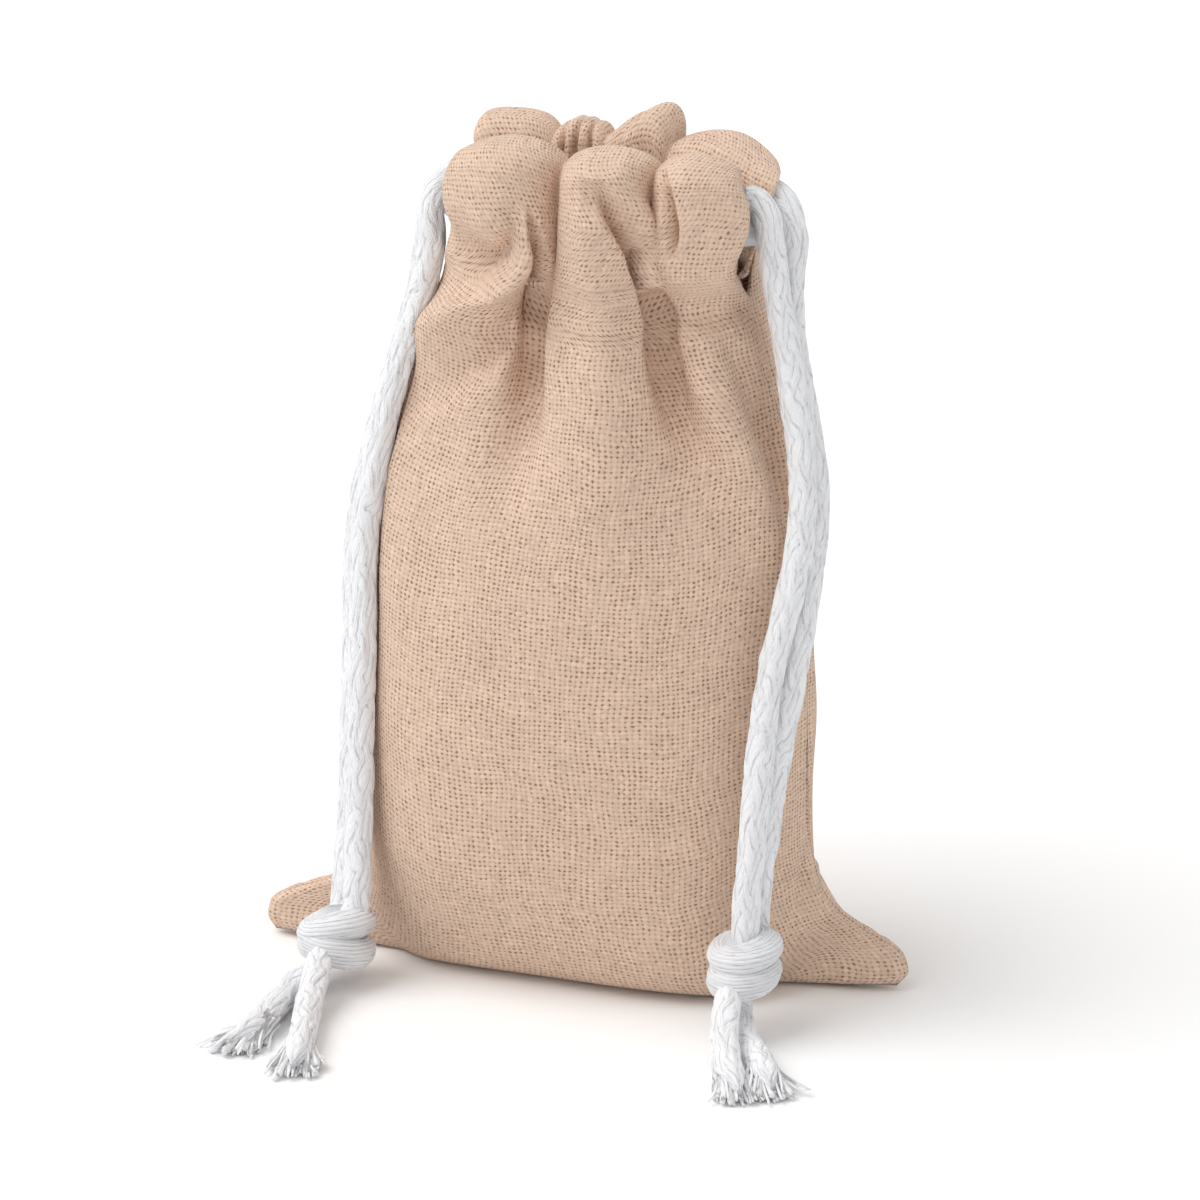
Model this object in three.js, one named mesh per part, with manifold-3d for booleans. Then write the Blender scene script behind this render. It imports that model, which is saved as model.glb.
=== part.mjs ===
// A small cotton drawstring bag, standing full, with its mouth drawn shut by two braided cords.
// Millimetres, +Z up, X across the bag, front towards -Y, origin under the middle of the bag on the surface.
import * as THREE from "three";
import { mergeVertices } from "three/addons/utils/BufferGeometryUtils.js";
import Module from "manifold-3d";

const wasm = await Module();
wasm.setup();

// ---- driving dimensions -------------------------------------------------------------------------
const CLOTH_THICKNESS = 1.0;
const SEAM_GAP = 0.3; // between the two panels along the side and bottom seams
const EAR_HALF_THICKNESS = 2.0; // the flattened bottom corners
const BODY_HALF_WIDTH = { left: 35.0, right: 35.2 };
const FOOT_REACH = 5; // how far past the body its filled foot reaches into the bottom corners
const SEAM_DEPTH = { middle: -4.0, swing: 4.0 }; // bottom seam: how far forward, and how much it turns
const SEAM_CENTRED_AT = 70; // height along the cloth where the side seams are back in the middle
const CORD_DIAMETER = 4.4;
const CORD_SIDES = 12;

// Each table has a row for a level of the cloth: s is the distance from the bottom seam, up the outside,
// over the rim and down the inside of the hem.

// The side seams: their height, and how far out the left and the right one stand.
const SEAMS = [
  { s: 0, z: 0.0, left: 51.0, right: 50.5 },
  { s: 3, z: 2.6, left: 52.4, right: 52.4 },
  { s: 6, z: 5.6, left: 51.8, right: 51.6 },
  { s: 9, z: 7.4, left: 49.0, right: 49.0 },
  { s: 14, z: 9.6, left: 43.2, right: 44.6 },
  { s: 19, z: 12.2, left: 39.4, right: 40.6 },
  { s: 24, z: 15.8, left: 36.8, right: 38.0 },
  { s: 34, z: 24.6, left: 35.0, right: 36.0 },
  { s: 54, z: 43.5, left: 34.4, right: 35.4 },
  { s: 74, z: 62.5, left: 33.6, right: 35.0 },
  { s: 94, z: 82.0, left: 30.2, right: 32.6 },
  { s: 114, z: 101.5, left: 24.8, right: 27.8 },
  { s: 123, z: 110.0, left: 21.8, right: 25.4 },
  { s: 128, z: 114.2, left: 20.2, right: 24.6 },
  { s: 134, z: 119.5, left: 19.0, right: 24.0 },
  { s: 140, z: 125.0, left: 18.6, right: 24.0 },
  { s: 146, z: 129.8, left: 18.6, right: 24.2 },
  { s: 150, z: 131.9, left: 18.6, right: 24.2 },
  { s: 153, z: 132.0, left: 18.6, right: 24.2 },
  { s: 157, z: 129.6, left: 18.2, right: 23.7 },
  { s: 162, z: 124.4, left: 17.8, right: 23.3 },
  { s: 167, z: 119.0, left: 17.8, right: 23.3 },
  { s: 170, z: 116.4, left: 17.8, right: 23.0 },
  { s: 173, z: 114.4, left: 17.8, right: 22.4 },
];

// The middle of each panel, where it stands furthest out.
const MIDDLES = [
  { s: 0, frontY: -4.0, frontZ: 0.0, backY: -4.0, backZ: 0.0 },
  { s: 3, frontY: -6.5, frontZ: 0.0, backY: 0.5, backZ: 0.0 },
  { s: 6, frontY: -9.0, frontZ: 0.0, backY: 5.0, backZ: 0.0 },
  { s: 9, frontY: -11.5, frontZ: 0.0, backY: 9.5, backZ: 0.0 },
  { s: 14, frontY: -16.0, frontZ: 1.8, backY: 15.4, backZ: 1.8 },
  { s: 19, frontY: -19.2, frontZ: 5.8, backY: 18.6, backZ: 5.8 },
  { s: 24, frontY: -21.2, frontZ: 10.6, backY: 20.6, backZ: 10.6 },
  { s: 34, frontY: -23.2, frontZ: 20.4, backY: 22.8, backZ: 20.4 },
  { s: 54, frontY: -24.3, frontZ: 40.4, backY: 24.2, backZ: 40.4 },
  { s: 74, frontY: -23.6, frontZ: 60.4, backY: 23.0, backZ: 60.4 },
  { s: 94, frontY: -20.6, frontZ: 80.2, backY: 19.6, backZ: 80.2 },
  { s: 114, frontY: -15.8, frontZ: 99.4, backY: 15.2, backZ: 99.4 },
  { s: 123, frontY: -13.4, frontZ: 108.4, backY: 13.0, backZ: 108.4 },
  { s: 128, frontY: -12.6, frontZ: 113.4, backY: 12.4, backZ: 113.4 },
  { s: 134, frontY: -12.5, frontZ: 119.2, backY: 12.3, backZ: 119.2 },
  { s: 140, frontY: -12.6, frontZ: 125.0, backY: 12.4, backZ: 125.0 },
  { s: 146, frontY: -12.4, frontZ: 130.0, backY: 12.2, backZ: 130.0 },
  { s: 150, frontY: -10.5, frontZ: 132.5, backY: 10.3, backZ: 132.5 },
  { s: 153, frontY: -7.7, frontZ: 132.7, backY: 7.5, backZ: 132.7 },
  { s: 157, frontY: -5.1, frontZ: 130.2, backY: 4.4, backZ: 130.2 },
  { s: 162, frontY: -4.4, frontZ: 124.8, backY: 3.8, backZ: 124.8 },
  { s: 167, frontY: -4.4, frontZ: 119.2, backY: 3.8, backZ: 119.2 },
  { s: 170, frontY: -7.4, frontZ: 116.0, backY: 7.2, backZ: 116.0 },
  { s: 173, frontY: -10.4, frontZ: 113.8, backY: 10.2, backZ: 113.8 },
];

// The outline of the level seen from above: its squareness, how far the hem's ends have parted there, and
// the distance from each end to the plane between the panels.
const OUTLINES = [
  { s: 0, square: 2.6, open: 0, apart: 0 },
  { s: 34, square: 2.6, open: 0, apart: 0 },
  { s: 54, square: 2.5, open: 0, apart: 0 },
  { s: 74, square: 2.4, open: 0, apart: 0 },
  { s: 94, square: 2.3, open: 0, apart: 0 },
  { s: 114, square: 2.2, open: 0, apart: 0 },
  { s: 123, square: 2.1, open: 0.05, apart: 0 },
  { s: 128, square: 2.1, open: 0.4, apart: 3.4 },
  { s: 134, square: 2.0, open: 1, apart: 8.9 },
  { s: 140, square: 2.0, open: 1, apart: 9.1 },
  { s: 146, square: 2.0, open: 1, apart: 8.6 },
  { s: 150, square: 2.0, open: 1, apart: 6.4 },
  { s: 153, square: 2.0, open: 1, apart: 3.4 },
  { s: 157, square: 2.0, open: 1, apart: 0.9 },
  { s: 162, square: 2.0, open: 1, apart: 0.45 },
  { s: 167, square: 2.0, open: 1, apart: 0.45 },
  { s: 170, square: 2.0, open: 0.7, apart: 0.9 },
  { s: 173, square: 2.0, open: 0.4, apart: 1.0 },
];
const CREASE_SOFTNESS = 0.02; // how wide the creases between the hem's gathers are
const PUFF_ROUNDNESS = 0.62; // half round at 0.5, a plain wave at 1
const STITCHES = 128; // s where the hem is sewn down
const CREST = 150; // s of the top of the rim
const HEM_EDGE = 173; // s where the hem's inner edge ends

// The gathers of each panel, from one crease to the next across it (-1 is the left seam, 1 the right):
// out is how far the gather stands out, rise how far its top stands up, fade the s where it dies away.
const GATHERS = {
  front: [
    { from: -1.0, to: -0.1, out: 7.6, rise: 5.0, fade: 94, parts: 12 },
    { from: -0.1, to: 0.56, out: 8.0, rise: 3.0, fade: 58, parts: 12 },
    { from: 0.56, to: 1.0, out: 6.2, rise: 4.0, fade: 84, parts: 10 },
  ],
  back: [
    { from: -1.0, to: -0.5, out: 6.0, rise: 2.0, fade: 88, parts: 9 },
    { from: -0.5, to: -0.26, out: 3.5, rise: 1.5, fade: 100, parts: 6 },
    { from: -0.26, to: 0.04, out: 4.0, rise: 1.5, fade: 96, parts: 6 },
    { from: 0.04, to: 0.46, out: 6.5, rise: 5.0, fade: 80, parts: 8 },
    { from: 0.46, to: 1.0, out: 8.6, rise: 2.0, fade: 86, parts: 9 },
  ],
};

// sign is the side of the seams' plane that a panel bulges to, and turn is how much fuller the right-hand
// end of its foot is than the left-hand one.
const PANELS = {
  front: { name: "front_panel", sign: -1, y: "frontY", z: "frontZ", gathers: GATHERS.front, turn: 0.42 },
  back: { name: "back_panel", sign: 1, y: "backY", z: "backZ", gathers: GATHERS.back, turn: 0 },
};

// Levels where the solid has a ring of points: up the outside and down the hem, up the inside of the
// cloth, and around the channel that the cords run through.
const OUTER_LEVELS = [
  0, 1.2, 3, 6, 9, 12, 15.5, 19.5, 24, 31, 40, 52, 64, 76, 88, 98, 107, 115, 122, 128,
  132, 136, 140, 144, 147, 149.5, 151.5, 153.5, 156, 160, 165, 168, 170.5, HEM_EDGE,
];
const INNER_LEVELS = [126, 118, 108, 95, 80, 62, 44, 32, 24, 17, 11, 5.5, 1.8];
const CHANNEL_LEVELS = [131, 135, 140, 145, 148.5, 151.5, 155, 160, 165, 168.5];

// The cords lie one above the other in the channel, swap above and below middleZ, and change places inside
// one wide gather of each panel, between x from and to. There left and right are how far each cord goes
// aside, outwards, and before and after are the steps of its route on either side of the change.
const CHANNEL_ROUTE = { middleZ: 125.3, swap: 2.6, turnZ: 122.0, middleY: 8.6, endY: 4.3 };
const CHANNEL_END = { left: -19.2, right: 24.8 };
const CHANGE_PLACES = {
  front: { from: -16.5, to: -1.5, left: 5.6, right: 0.0, before: 1, after: 3 },
  back: { from: 13.5, to: 22.4, left: 5.6, right: -0.9, before: 4, after: 1 },
};
const CHANGE_STEPS = 4;
const TURN_REACH = 2.6; // how far a cord goes past the channel's ends to come back on the other side

const WHITE_COTTON = { color: 0xf1f1f3, roughness: 0.9 };
const TAN_COTTON = { color: 0xd9ba9f, roughness: 0.95 };

// The free runs of cord, from the side of the hem down to the knot, and the tails beyond it.
const FREE_RUNS = {
  left_front: {
    steps: 10,
    points: [
      [-19.85, -4.05, 127.8], [-21.4, -3.6, 127.5], [-23.3, -4.6, 125.4], [-24.1, -5.9, 122.0],
      [-24.0, -6.4, 117.0], [-25.2, -6.8, 110.0], [-27.7, -8.0, 101.0], [-30.5, -9.3, 90.2],
      [-32.2, -10.7, 80.7], [-33.2, -12.3, 71.0], [-32.9, -14.6, 58.0], [-32.5, -17.2, 43.0],
      [-32.1, -19.6, 28.0], [-31.9, -21.6, 17.0], [-31.9, -22.7, 11.7],
    ],
  },
  left_rear: {
    steps: 10,
    points: [
      [-19.9, 4.05, 127.8], [-21.8, 3.4, 127.3], [-24.6, 2.2, 125.4], [-26.4, 1.0, 122.0],
      [-26.6, -0.4, 117.0], [-27.4, -1.8, 110.0], [-29.4, -3.2, 101.0], [-32.2, -4.7, 90.2],
      [-34.4, -6.4, 80.7], [-35.7, -8.2, 71.0], [-35.6, -10.6, 58.0], [-35.2, -13.2, 43.0],
      [-34.9, -15.6, 28.0], [-35.0, -17.9, 17.0], [-35.1, -19.2, 11.0],
    ],
  },
  right_front: {
    steps: 10,
    points: [
      [25.4, -4.1, 127.8], [27.1, -3.6, 127.5], [29.3, -4.6, 125.4], [30.4, -5.8, 121.6],
      [31.4, -6.6, 116.0], [33.2, -7.4, 108.0], [35.0, -8.6, 99.0], [36.9, -10.2, 89.0],
      [37.6, -12.4, 79.5], [36.6, -15.4, 69.0], [34.7, -18.3, 58.0], [33.7, -20.7, 44.0],
      [33.1, -22.8, 29.0], [32.7, -23.7, 21.0], [32.7, -24.0, 16.6],
    ],
  },
  right_rear: {
    steps: 10,
    points: [
      [25.45, 4.1, 127.8], [27.4, 3.4, 127.4], [30.3, 2.4, 125.6], [32.1, 0.9, 121.6],
      [32.2, -0.9, 116.0], [32.6, -2.4, 108.0], [34.4, -3.7, 99.0], [37.0, -5.2, 89.0],
      [38.4, -7.5, 79.5], [38.3, -10.8, 69.0], [37.3, -14.0, 58.0], [35.4, -16.0, 44.0],
      [33.7, -18.0, 29.0], [33.0, -19.0, 21.0], [33.0, -19.3, 16.1],
    ],
  },
  left_front_tail: {
    steps: 3,
    points: [
      [-35.2, -28.9, 6.8], [-34.3, -34.2, 5.2], [-32.9, -41.2, 2.9], [-30.8, -48.8, 2.3],
      [-28.9, -56.0, 2.3], [-27.5, -62.4, 2.3],
    ],
  },
  left_rear_tail: {
    steps: 3,
    points: [
      [-36.9, -27.5, 2.4], [-38.2, -32.2, 2.3], [-38.5, -38.0, 2.3], [-38.4, -44.8, 2.3],
      [-38.8, -51.4, 2.3], [-40.2, -57.0, 2.3],
    ],
  },
  right_front_tail: {
    steps: 3,
    points: [
      [31.9, -28.6, 9.2], [32.4, -33.0, 7.1], [33.6, -38.0, 5.2], [35.4, -42.6, 3.4],
      [37.6, -46.8, 2.4], [39.9, -50.8, 2.3],
    ],
  },
  right_rear_tail: {
    steps: 3,
    points: [
      [32.5, -25.9, 4.0], [34.4, -30.5, 2.5], [37.1, -35.2, 2.3], [39.7, -39.8, 2.3],
      [42.1, -44.0, 2.3], [44.2, -48.0, 2.3],
    ],
  },
};

// Each knot: its middle, its half sizes, and its turn about the upright axis.
const KNOTS = {
  left: { at: [-34.9, -23.0, 6.0], size: [6.0, 5.2, 5.4], turn: 0.25 },
  right: { at: [32.6, -23.4, 10.9], size: [5.9, 5.2, 5.4], turn: -0.2 },
};
const KNOT_BAND = { radius: 3.9, thickness: 2.0, lean: 0.45, shift: 1.1 };

// ---- small maths --------------------------------------------------------------------------------
function smoothStep(from, to, x) {
  const u = THREE.MathUtils.clamp((x - from) / (to - from), 0, 1);
  return u * u * (3 - 2 * u);
}

// Slope at each point of a table, flat at its turning points, so that a curve through it never overshoots.
function slopes(xs, ys) {
  const last = xs.length - 1;
  const rise = (k) => (ys[k + 1] - ys[k]) / (xs[k + 1] - xs[k]);
  return xs.map((_, k) => {
    if (k === 0) return rise(0);
    if (k === last) return rise(last - 1);
    const [before, after] = [rise(k - 1), rise(k)];
    if (before * after <= 0) return 0;
    const [h0, h1] = [xs[k] - xs[k - 1], xs[k + 1] - xs[k]];
    return (3 * (h0 + h1)) / ((2 * h1 + h0) / before + (h1 + 2 * h0) / after);
  });
}

// A smooth curve through one column of a table of levels.
function levelCurve(table, column) {
  const xs = table.map((level) => level.s);
  const ys = table.map((level) => level[column]);
  const slope = slopes(xs, ys);
  return (x) => {
    let k = 0;
    while (k < xs.length - 2 && x >= xs[k + 1]) k += 1;
    const h = xs[k + 1] - xs[k];
    const u = (x - xs[k]) / h;
    const start = (2 * u ** 3 - 3 * u ** 2 + 1) * ys[k] + (u ** 3 - 2 * u ** 2 + u) * h * slope[k];
    return start + (3 * u ** 2 - 2 * u ** 3) * ys[k + 1] + (u ** 3 - u ** 2) * h * slope[k + 1];
  };
}

const [SEAM, MIDDLE, OUTLINE] = [SEAMS, MIDDLES, OUTLINES].map((table) =>
  Object.fromEntries(Object.keys(table[0]).map((column) => [column, levelCurve(table, column)])));

// ---- the cloth ----------------------------------------------------------------------------------
// Depth of a panel in front of the plane of its seams, at a share across of its half width.
function panelDepth(panel, s, across) {
  const side = across < 0 ? "left" : "right";
  const half = SEAM[side](s);
  const x = half * across;
  const body = Math.min(BODY_HALF_WIDTH[side], half);
  const low = 1 - smoothStep(0, SEAM_CENTRED_AT, s);
  const middle = Math.abs(MIDDLE[panel.y](s) - SEAM_DEPTH.middle * low);
  const square = OUTLINE.square(s);
  const upright = (1 - Math.min(Math.abs(x) / body, 1) ** square) ** (1 / square);
  const foot = (1 - Math.min(Math.abs(x) / Math.min(body + FOOT_REACH, half), 1) ** 4) ** 0.9;
  const nearFoot = 1 - smoothStep(14, 44, s);
  const lean = 1 + (panel.turn * (1 - smoothStep(6, 36, s)) * x) / body;
  const closed = (upright * (1 - nearFoot) + foot * nearFoot) * lean;
  const open = OUTLINE.open(s);
  const shape = closed * (1 - open) + (1 - across ** 2) * open;
  const apart = OUTLINE.apart(s);
  const bulge = apart + (middle - apart) * shape;
  const rounding = Math.max(EAR_HALF_THICKNESS - s, 0);
  const earEnd = Math.sqrt(1 - Math.abs(across) ** 12);
  const ear = Math.sqrt(EAR_HALF_THICKNESS ** 2 - rounding ** 2) * earEnd * (1 - smoothStep(24, 40, s));
  return Math.cbrt(bulge ** 3 + ear ** 3);
}

// One level of a panel as closely spaced points from the left seam to the right, with their distances.
const rowCache = new Map();
function panelRow(panel, s) {
  const key = `${panel.name} ${s}`;
  if (rowCache.has(key)) return rowCache.get(key);
  const count = 240;
  const points = [];
  const low = 1 - smoothStep(0, SEAM_CENTRED_AT, s);
  for (let k = 0; k <= count; k += 1) {
    const across = Math.sin(((2 * k) / count - 1) * (Math.PI / 2));
    const half = across < 0 ? SEAM.left(s) : SEAM.right(s);
    const seam = low * (SEAM_DEPTH.middle + SEAM_DEPTH.swing * across);
    const y = seam + panel.sign * (SEAM_GAP / 2 + panelDepth(panel, s, across));
    const toSeam = smoothStep(half * 0.5, Math.min(42, half), Math.abs(across) * half);
    const z = MIDDLE[panel.z](s) * (1 - toSeam) + SEAM.z(s) * toSeam;
    points.push(new THREE.Vector3(half * across, y, z));
  }
  const reach = [0];
  for (let k = 1; k <= count; k += 1) reach.push(reach[k - 1] + points[k].distanceTo(points[k - 1]));
  const row = { points, reach };
  rowCache.set(key, row);
  return row;
}

// The point of a level at t, its share of the way across, from -1 to 1.
function alongRow(row, t) {
  const { points, reach } = row;
  const goal = THREE.MathUtils.clamp((t + 1) / 2, 0, 1) * reach[reach.length - 1];
  let k = 1;
  while (k < reach.length - 1 && reach[k] < goal) k += 1;
  const u = (goal - reach[k - 1]) / (reach[k] - reach[k - 1]);
  return points[k - 1].clone().lerp(points[k], u);
}

// How far a gather stands out at s: a soft fold below the hem, drawn in at the stitches, full at the cords.
function gatherHeight(gather, s) {
  const fold = 0.5 * smoothStep(gather.fade, 126, s) ** 1.2;
  if (s > CREST + 10) return fold * smoothStep(HEM_EDGE - 5, HEM_EDGE, s);
  return (fold + 0.5 * smoothStep(124, 140, s)) * (1 - smoothStep(146, 156, s));
}

// The shape across a gather: half round in the hem, a soft wave below it.
function gatherShape(u, s) {
  const wave = Math.sin(Math.PI * u);
  const blunt = (x) => Math.sqrt(x ** 2 + CREASE_SOFTNESS) - Math.sqrt(CREASE_SOFTNESS);
  const puff = (blunt(wave) / blunt(1)) ** PUFF_ROUNDNESS;
  const full = smoothStep(100, 134, s);
  return wave ** 1.4 * (1 - full) + puff * full;
}

// A point of a panel's outside at t across and s up the cloth.
function panelPoint(panel, t, s) {
  const row = panelRow(panel, s);
  const point = alongRow(row, t);
  const gather = panel.gathers.find((g) => t > g.from && t < g.to);
  if (!gather) return point;
  const along = alongRow(row, t + 0.001).sub(alongRow(row, t - 0.001));
  const outward = new THREE.Vector3(along.y, -along.x, 0).multiplyScalar(-panel.sign).normalize();
  const shape = gatherShape((t - gather.from) / (gather.to - gather.from), s);
  point.addScaledVector(outward, gather.out * gatherHeight(gather, s) * shape);
  point.z += gather.rise * shape * smoothStep(STITCHES, 148, s) * (1 - smoothStep(152, 168, s));
  return point;
}

// The same point moved in from the outside by the thickness of the cloth, on its own side of the seam.
function insidePoint(panel, t, s) {
  const [dt, ds] = [0.004, 0.25];
  const along = panelPoint(panel, t + dt, s).sub(panelPoint(panel, t - dt, s));
  const up = panelPoint(panel, t, s + ds).sub(panelPoint(panel, t, Math.max(s - ds, 0)));
  const outward = along.cross(up).multiplyScalar(-panel.sign).normalize();
  const point = panelPoint(panel, t, s).addScaledVector(outward, -CLOTH_THICKNESS);
  const low = 1 - smoothStep(0, SEAM_CENTRED_AT, s);
  const seam = low * (SEAM_DEPTH.middle + SEAM_DEPTH.swing * t);
  const limit = seam + (panel.sign * SEAM_GAP) / 2;
  point.y = panel.sign < 0 ? Math.min(point.y, limit) : Math.max(point.y, limit);
  point.z = Math.max(point.z, 0);
  return point;
}

// Columns of points across a panel, closest together near the creases between its gathers.
function panelColumns(panel) {
  const columns = [-1];
  for (const { from, to, parts } of panel.gathers) {
    for (let k = 1; k <= parts; k += 1) {
      const even = k / parts;
      const eased = (1 - Math.cos(Math.PI * even)) / 2;
      columns.push(from + (to - from) * (0.5 * even + 0.5 * eased));
    }
  }
  return columns;
}

// Joins equal loops of points, one per column, with two triangles between each pair of neighbours.
function loftFaces(loopSize, columnCount, firstIndex, stride) {
  const faces = [];
  for (let c = 0; c + 1 < columnCount; c += 1) {
    for (let k = 0; k < loopSize; k += 1) {
      const next = (k + 1) % loopSize;
      const [a, b] = [firstIndex + c * stride + k, firstIndex + c * stride + next];
      faces.push([a, b, b + stride], [a, b + stride, a + stride]);
    }
  }
  return faces;
}

// A panel with its hem: an outline of the cloth's section at each column, with the channel as a hole in it.
function panelGeometry(panel) {
  const columns = panelColumns(panel);
  const sections = columns.map((t) => ({
    outline: [
      ...OUTER_LEVELS.map((s) => panelPoint(panel, t, s)),
      ...INNER_LEVELS.map((s) => insidePoint(panel, t, s)),
    ],
    channel: CHANNEL_LEVELS.map((s) => insidePoint(panel, t, s)),
  }));
  const outlineSize = sections[0].outline.length;
  const channelSize = sections[0].channel.length;
  const stride = outlineSize + channelSize;
  const points = sections.flatMap(({ outline, channel }) => [...outline, ...channel]);
  const walls = loftFaces(outlineSize, columns.length, 0, stride);
  const bore = loftFaces(channelSize, columns.length, outlineSize, stride).map(([a, b, c]) => [a, c, b]);
  const crease = sections[panel.gathers[0].parts];
  const flat = (p) => new THREE.Vector2(p.y, p.z);
  const cap = THREE.ShapeUtils.triangulateShape(crease.outline.map(flat), [crease.channel.map(flat)]);
  const alongOutline = cap.some((face) => face.some((k, corner) => k === 0 && face[(corner + 1) % 3] === 1));
  const ends = [0, columns.length - 1].flatMap((column) => {
    const keep = alongOutline === (column > 0);
    return cap.map(([a, b, c]) => (keep ? [a, b, c] : [a, c, b]).map((k) => k + column * stride));
  });
  return closedGeometry(points, [...walls, ...bore, ...ends]);
}

// A geometry from points and faces, its faces turned outwards.
function closedGeometry(points, faces) {
  const volume = faces.reduce((sum, [a, b, c]) => sum + points[a].dot(points[b].clone().cross(points[c])), 0);
  const index = faces.flatMap(([a, b, c]) => (volume > 0 ? [a, b, c] : [a, c, b]));
  const geometry = new THREE.BufferGeometry();
  geometry.setAttribute("position", new THREE.Float32BufferAttribute(points.flatMap((p) => p.toArray()), 3));
  geometry.setIndex(index);
  geometry.computeVertexNormals();
  return geometry;
}

// ---- the cords ----------------------------------------------------------------------------------
// A smooth route through points, with steps that are closer together where the points are.
class Route extends THREE.CatmullRomCurve3 {
  getPointAt(share, target) {
    return this.getPoint(share, target);
  }

  getTangentAt(share, target) {
    return this.getTangent(share, target);
  }
}

function cordGeometry(points, steps) {
  const section = new THREE.Shape();
  for (let k = 0; k < CORD_SIDES; k += 1) {
    const angle = (2 * Math.PI * k) / CORD_SIDES;
    const [x, y] = [(Math.cos(angle) * CORD_DIAMETER) / 2, (Math.sin(angle) * CORD_DIAMETER) / 2];
    if (k === 0) section.moveTo(x, y);
    else section.lineTo(x, y);
  }
  section.closePath();
  const route = new Route(points.map((p) => new THREE.Vector3(...p)), false, "centripetal");
  return new THREE.ExtrudeGeometry(section, { steps, extrudePath: route, bevelEnabled: false });
}

// Places across the channel where a cord's route has a point, closest where the cords change places.
function channelStations({ from, to, before, after }) {
  const between = (start, end, count) =>
    Array.from({ length: count }, (_, k) => THREE.MathUtils.lerp(start, end, k / count));
  return [
    ...between(CHANNEL_END.left, from, before),
    ...between(from, to, CHANGE_STEPS),
    ...between(to, CHANNEL_END.right, after),
    CHANNEL_END.right,
  ];
}

// The hidden run of a cord: through one hem, round the far side and back through the other hem. It starts
// high at its own side, and ends up low at the far side, where the other cord comes out above it.
function channelRun(side) {
  const outward = side === "left" ? 1 : -1;
  const run = (panel) => {
    const change = CHANGE_PLACES[panel];
    const points = channelStations(change).map((x) => {
      const across = x / (x < 0 ? CHANNEL_END.left : CHANNEL_END.right);
      const half = Math.PI * THREE.MathUtils.clamp((x - change.from) / (change.to - change.from), 0, 1);
      const aside = change[side] * Math.sin(half);
      const depth = CHANNEL_ROUTE.endY + (CHANNEL_ROUTE.middleY - CHANNEL_ROUTE.endY) * (1 - across ** 2);
      const z = CHANNEL_ROUTE.middleZ + outward * CHANNEL_ROUTE.swap * Math.cos(half);
      return [x, (depth + aside) * (panel === "front" ? -1 : 1), z];
    });
    return side === "left" ? points : points.reverse();
  };
  const far = CHANNEL_END[side === "left" ? "right" : "left"];
  const turn = [far + outward * TURN_REACH, 0, CHANNEL_ROUTE.turnZ];
  return [...run("front"), turn, ...run("back").reverse()];
}

// ---- the knots ----------------------------------------------------------------------------------
function solidOf(geometry) {
  const bare = geometry.clone();
  bare.deleteAttribute("normal");
  bare.deleteAttribute("uv");
  const merged = mergeVertices(bare, 1e-4);
  const vertProperties = new Float32Array(merged.attributes.position.array);
  const triVerts = new Uint32Array(merged.index.array);
  return new wasm.Manifold(new wasm.Mesh({ numProp: 3, vertProperties, triVerts }));
}

// A pulled-tight knot: a rounded core with two bands of doubled cord lying round it.
function knotGeometry({ size }) {
  const core = new THREE.SphereGeometry(1, 14, 10).scale(size[0] * 0.86, size[1] * 0.92, size[2] * 0.92);
  const [sx, sy, sz] = size.map((half) => half / (KNOT_BAND.radius + KNOT_BAND.thickness));
  const band = (way) =>
    new THREE.TorusGeometry(KNOT_BAND.radius, KNOT_BAND.thickness, 8, 16)
      .rotateX(way * KNOT_BAND.lean)
      .translate(0, 0, way * KNOT_BAND.shift)
      .scale(sx, sy, sz);
  const knot = solidOf(core).add(solidOf(band(1))).add(solidOf(band(-1)));
  const { vertProperties, triVerts } = knot.getMesh();
  const geometry = new THREE.BufferGeometry();
  geometry.setAttribute("position", new THREE.BufferAttribute(vertProperties, 3));
  geometry.setIndex(new THREE.BufferAttribute(triVerts, 1));
  geometry.computeVertexNormals();
  return geometry;
}

// ---- the bag ------------------------------------------------------------------------------------
function piece(name, geometry, finish) {
  const mesh = new THREE.Mesh(geometry, new THREE.MeshStandardMaterial({ ...finish, metalness: 0 }));
  mesh.name = name;
  return mesh;
}

function clothPieces() {
  return Object.values(PANELS).map((panel) => piece(panel.name, panelGeometry(panel), TAN_COTTON));
}

function cordPieces() {
  const hidden = ["left", "right"].map((side) => {
    const points = channelRun(side);
    return piece(`drawcord_${side}_hidden`, cordGeometry(points, points.length - 1), WHITE_COTTON);
  });
  const free = Object.entries(FREE_RUNS).map(([name, { points, steps }]) =>
    piece(`drawcord_${name}`, cordGeometry(points, steps), WHITE_COTTON));
  const knots = Object.entries(KNOTS).map(([side, knot]) => {
    const mesh = piece(`knot_${side}`, knotGeometry(knot), WHITE_COTTON);
    mesh.position.set(...knot.at);
    mesh.rotation.z = knot.turn;
    return mesh;
  });
  return [...hidden, ...free, ...knots];
}

const bag = new THREE.Group();
bag.add(...clothPieces(), ...cordPieces());

export default bag;
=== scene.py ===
"""A small cotton drawstring bag, standing full, its gathered mouth drawn shut by two knotted cords.

Tables and shapes are in millimetres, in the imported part's own frame: +Z up, X across the bag and the front
towards -Y. A mesh is turned into metres when it is made.
"""

import math

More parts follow.
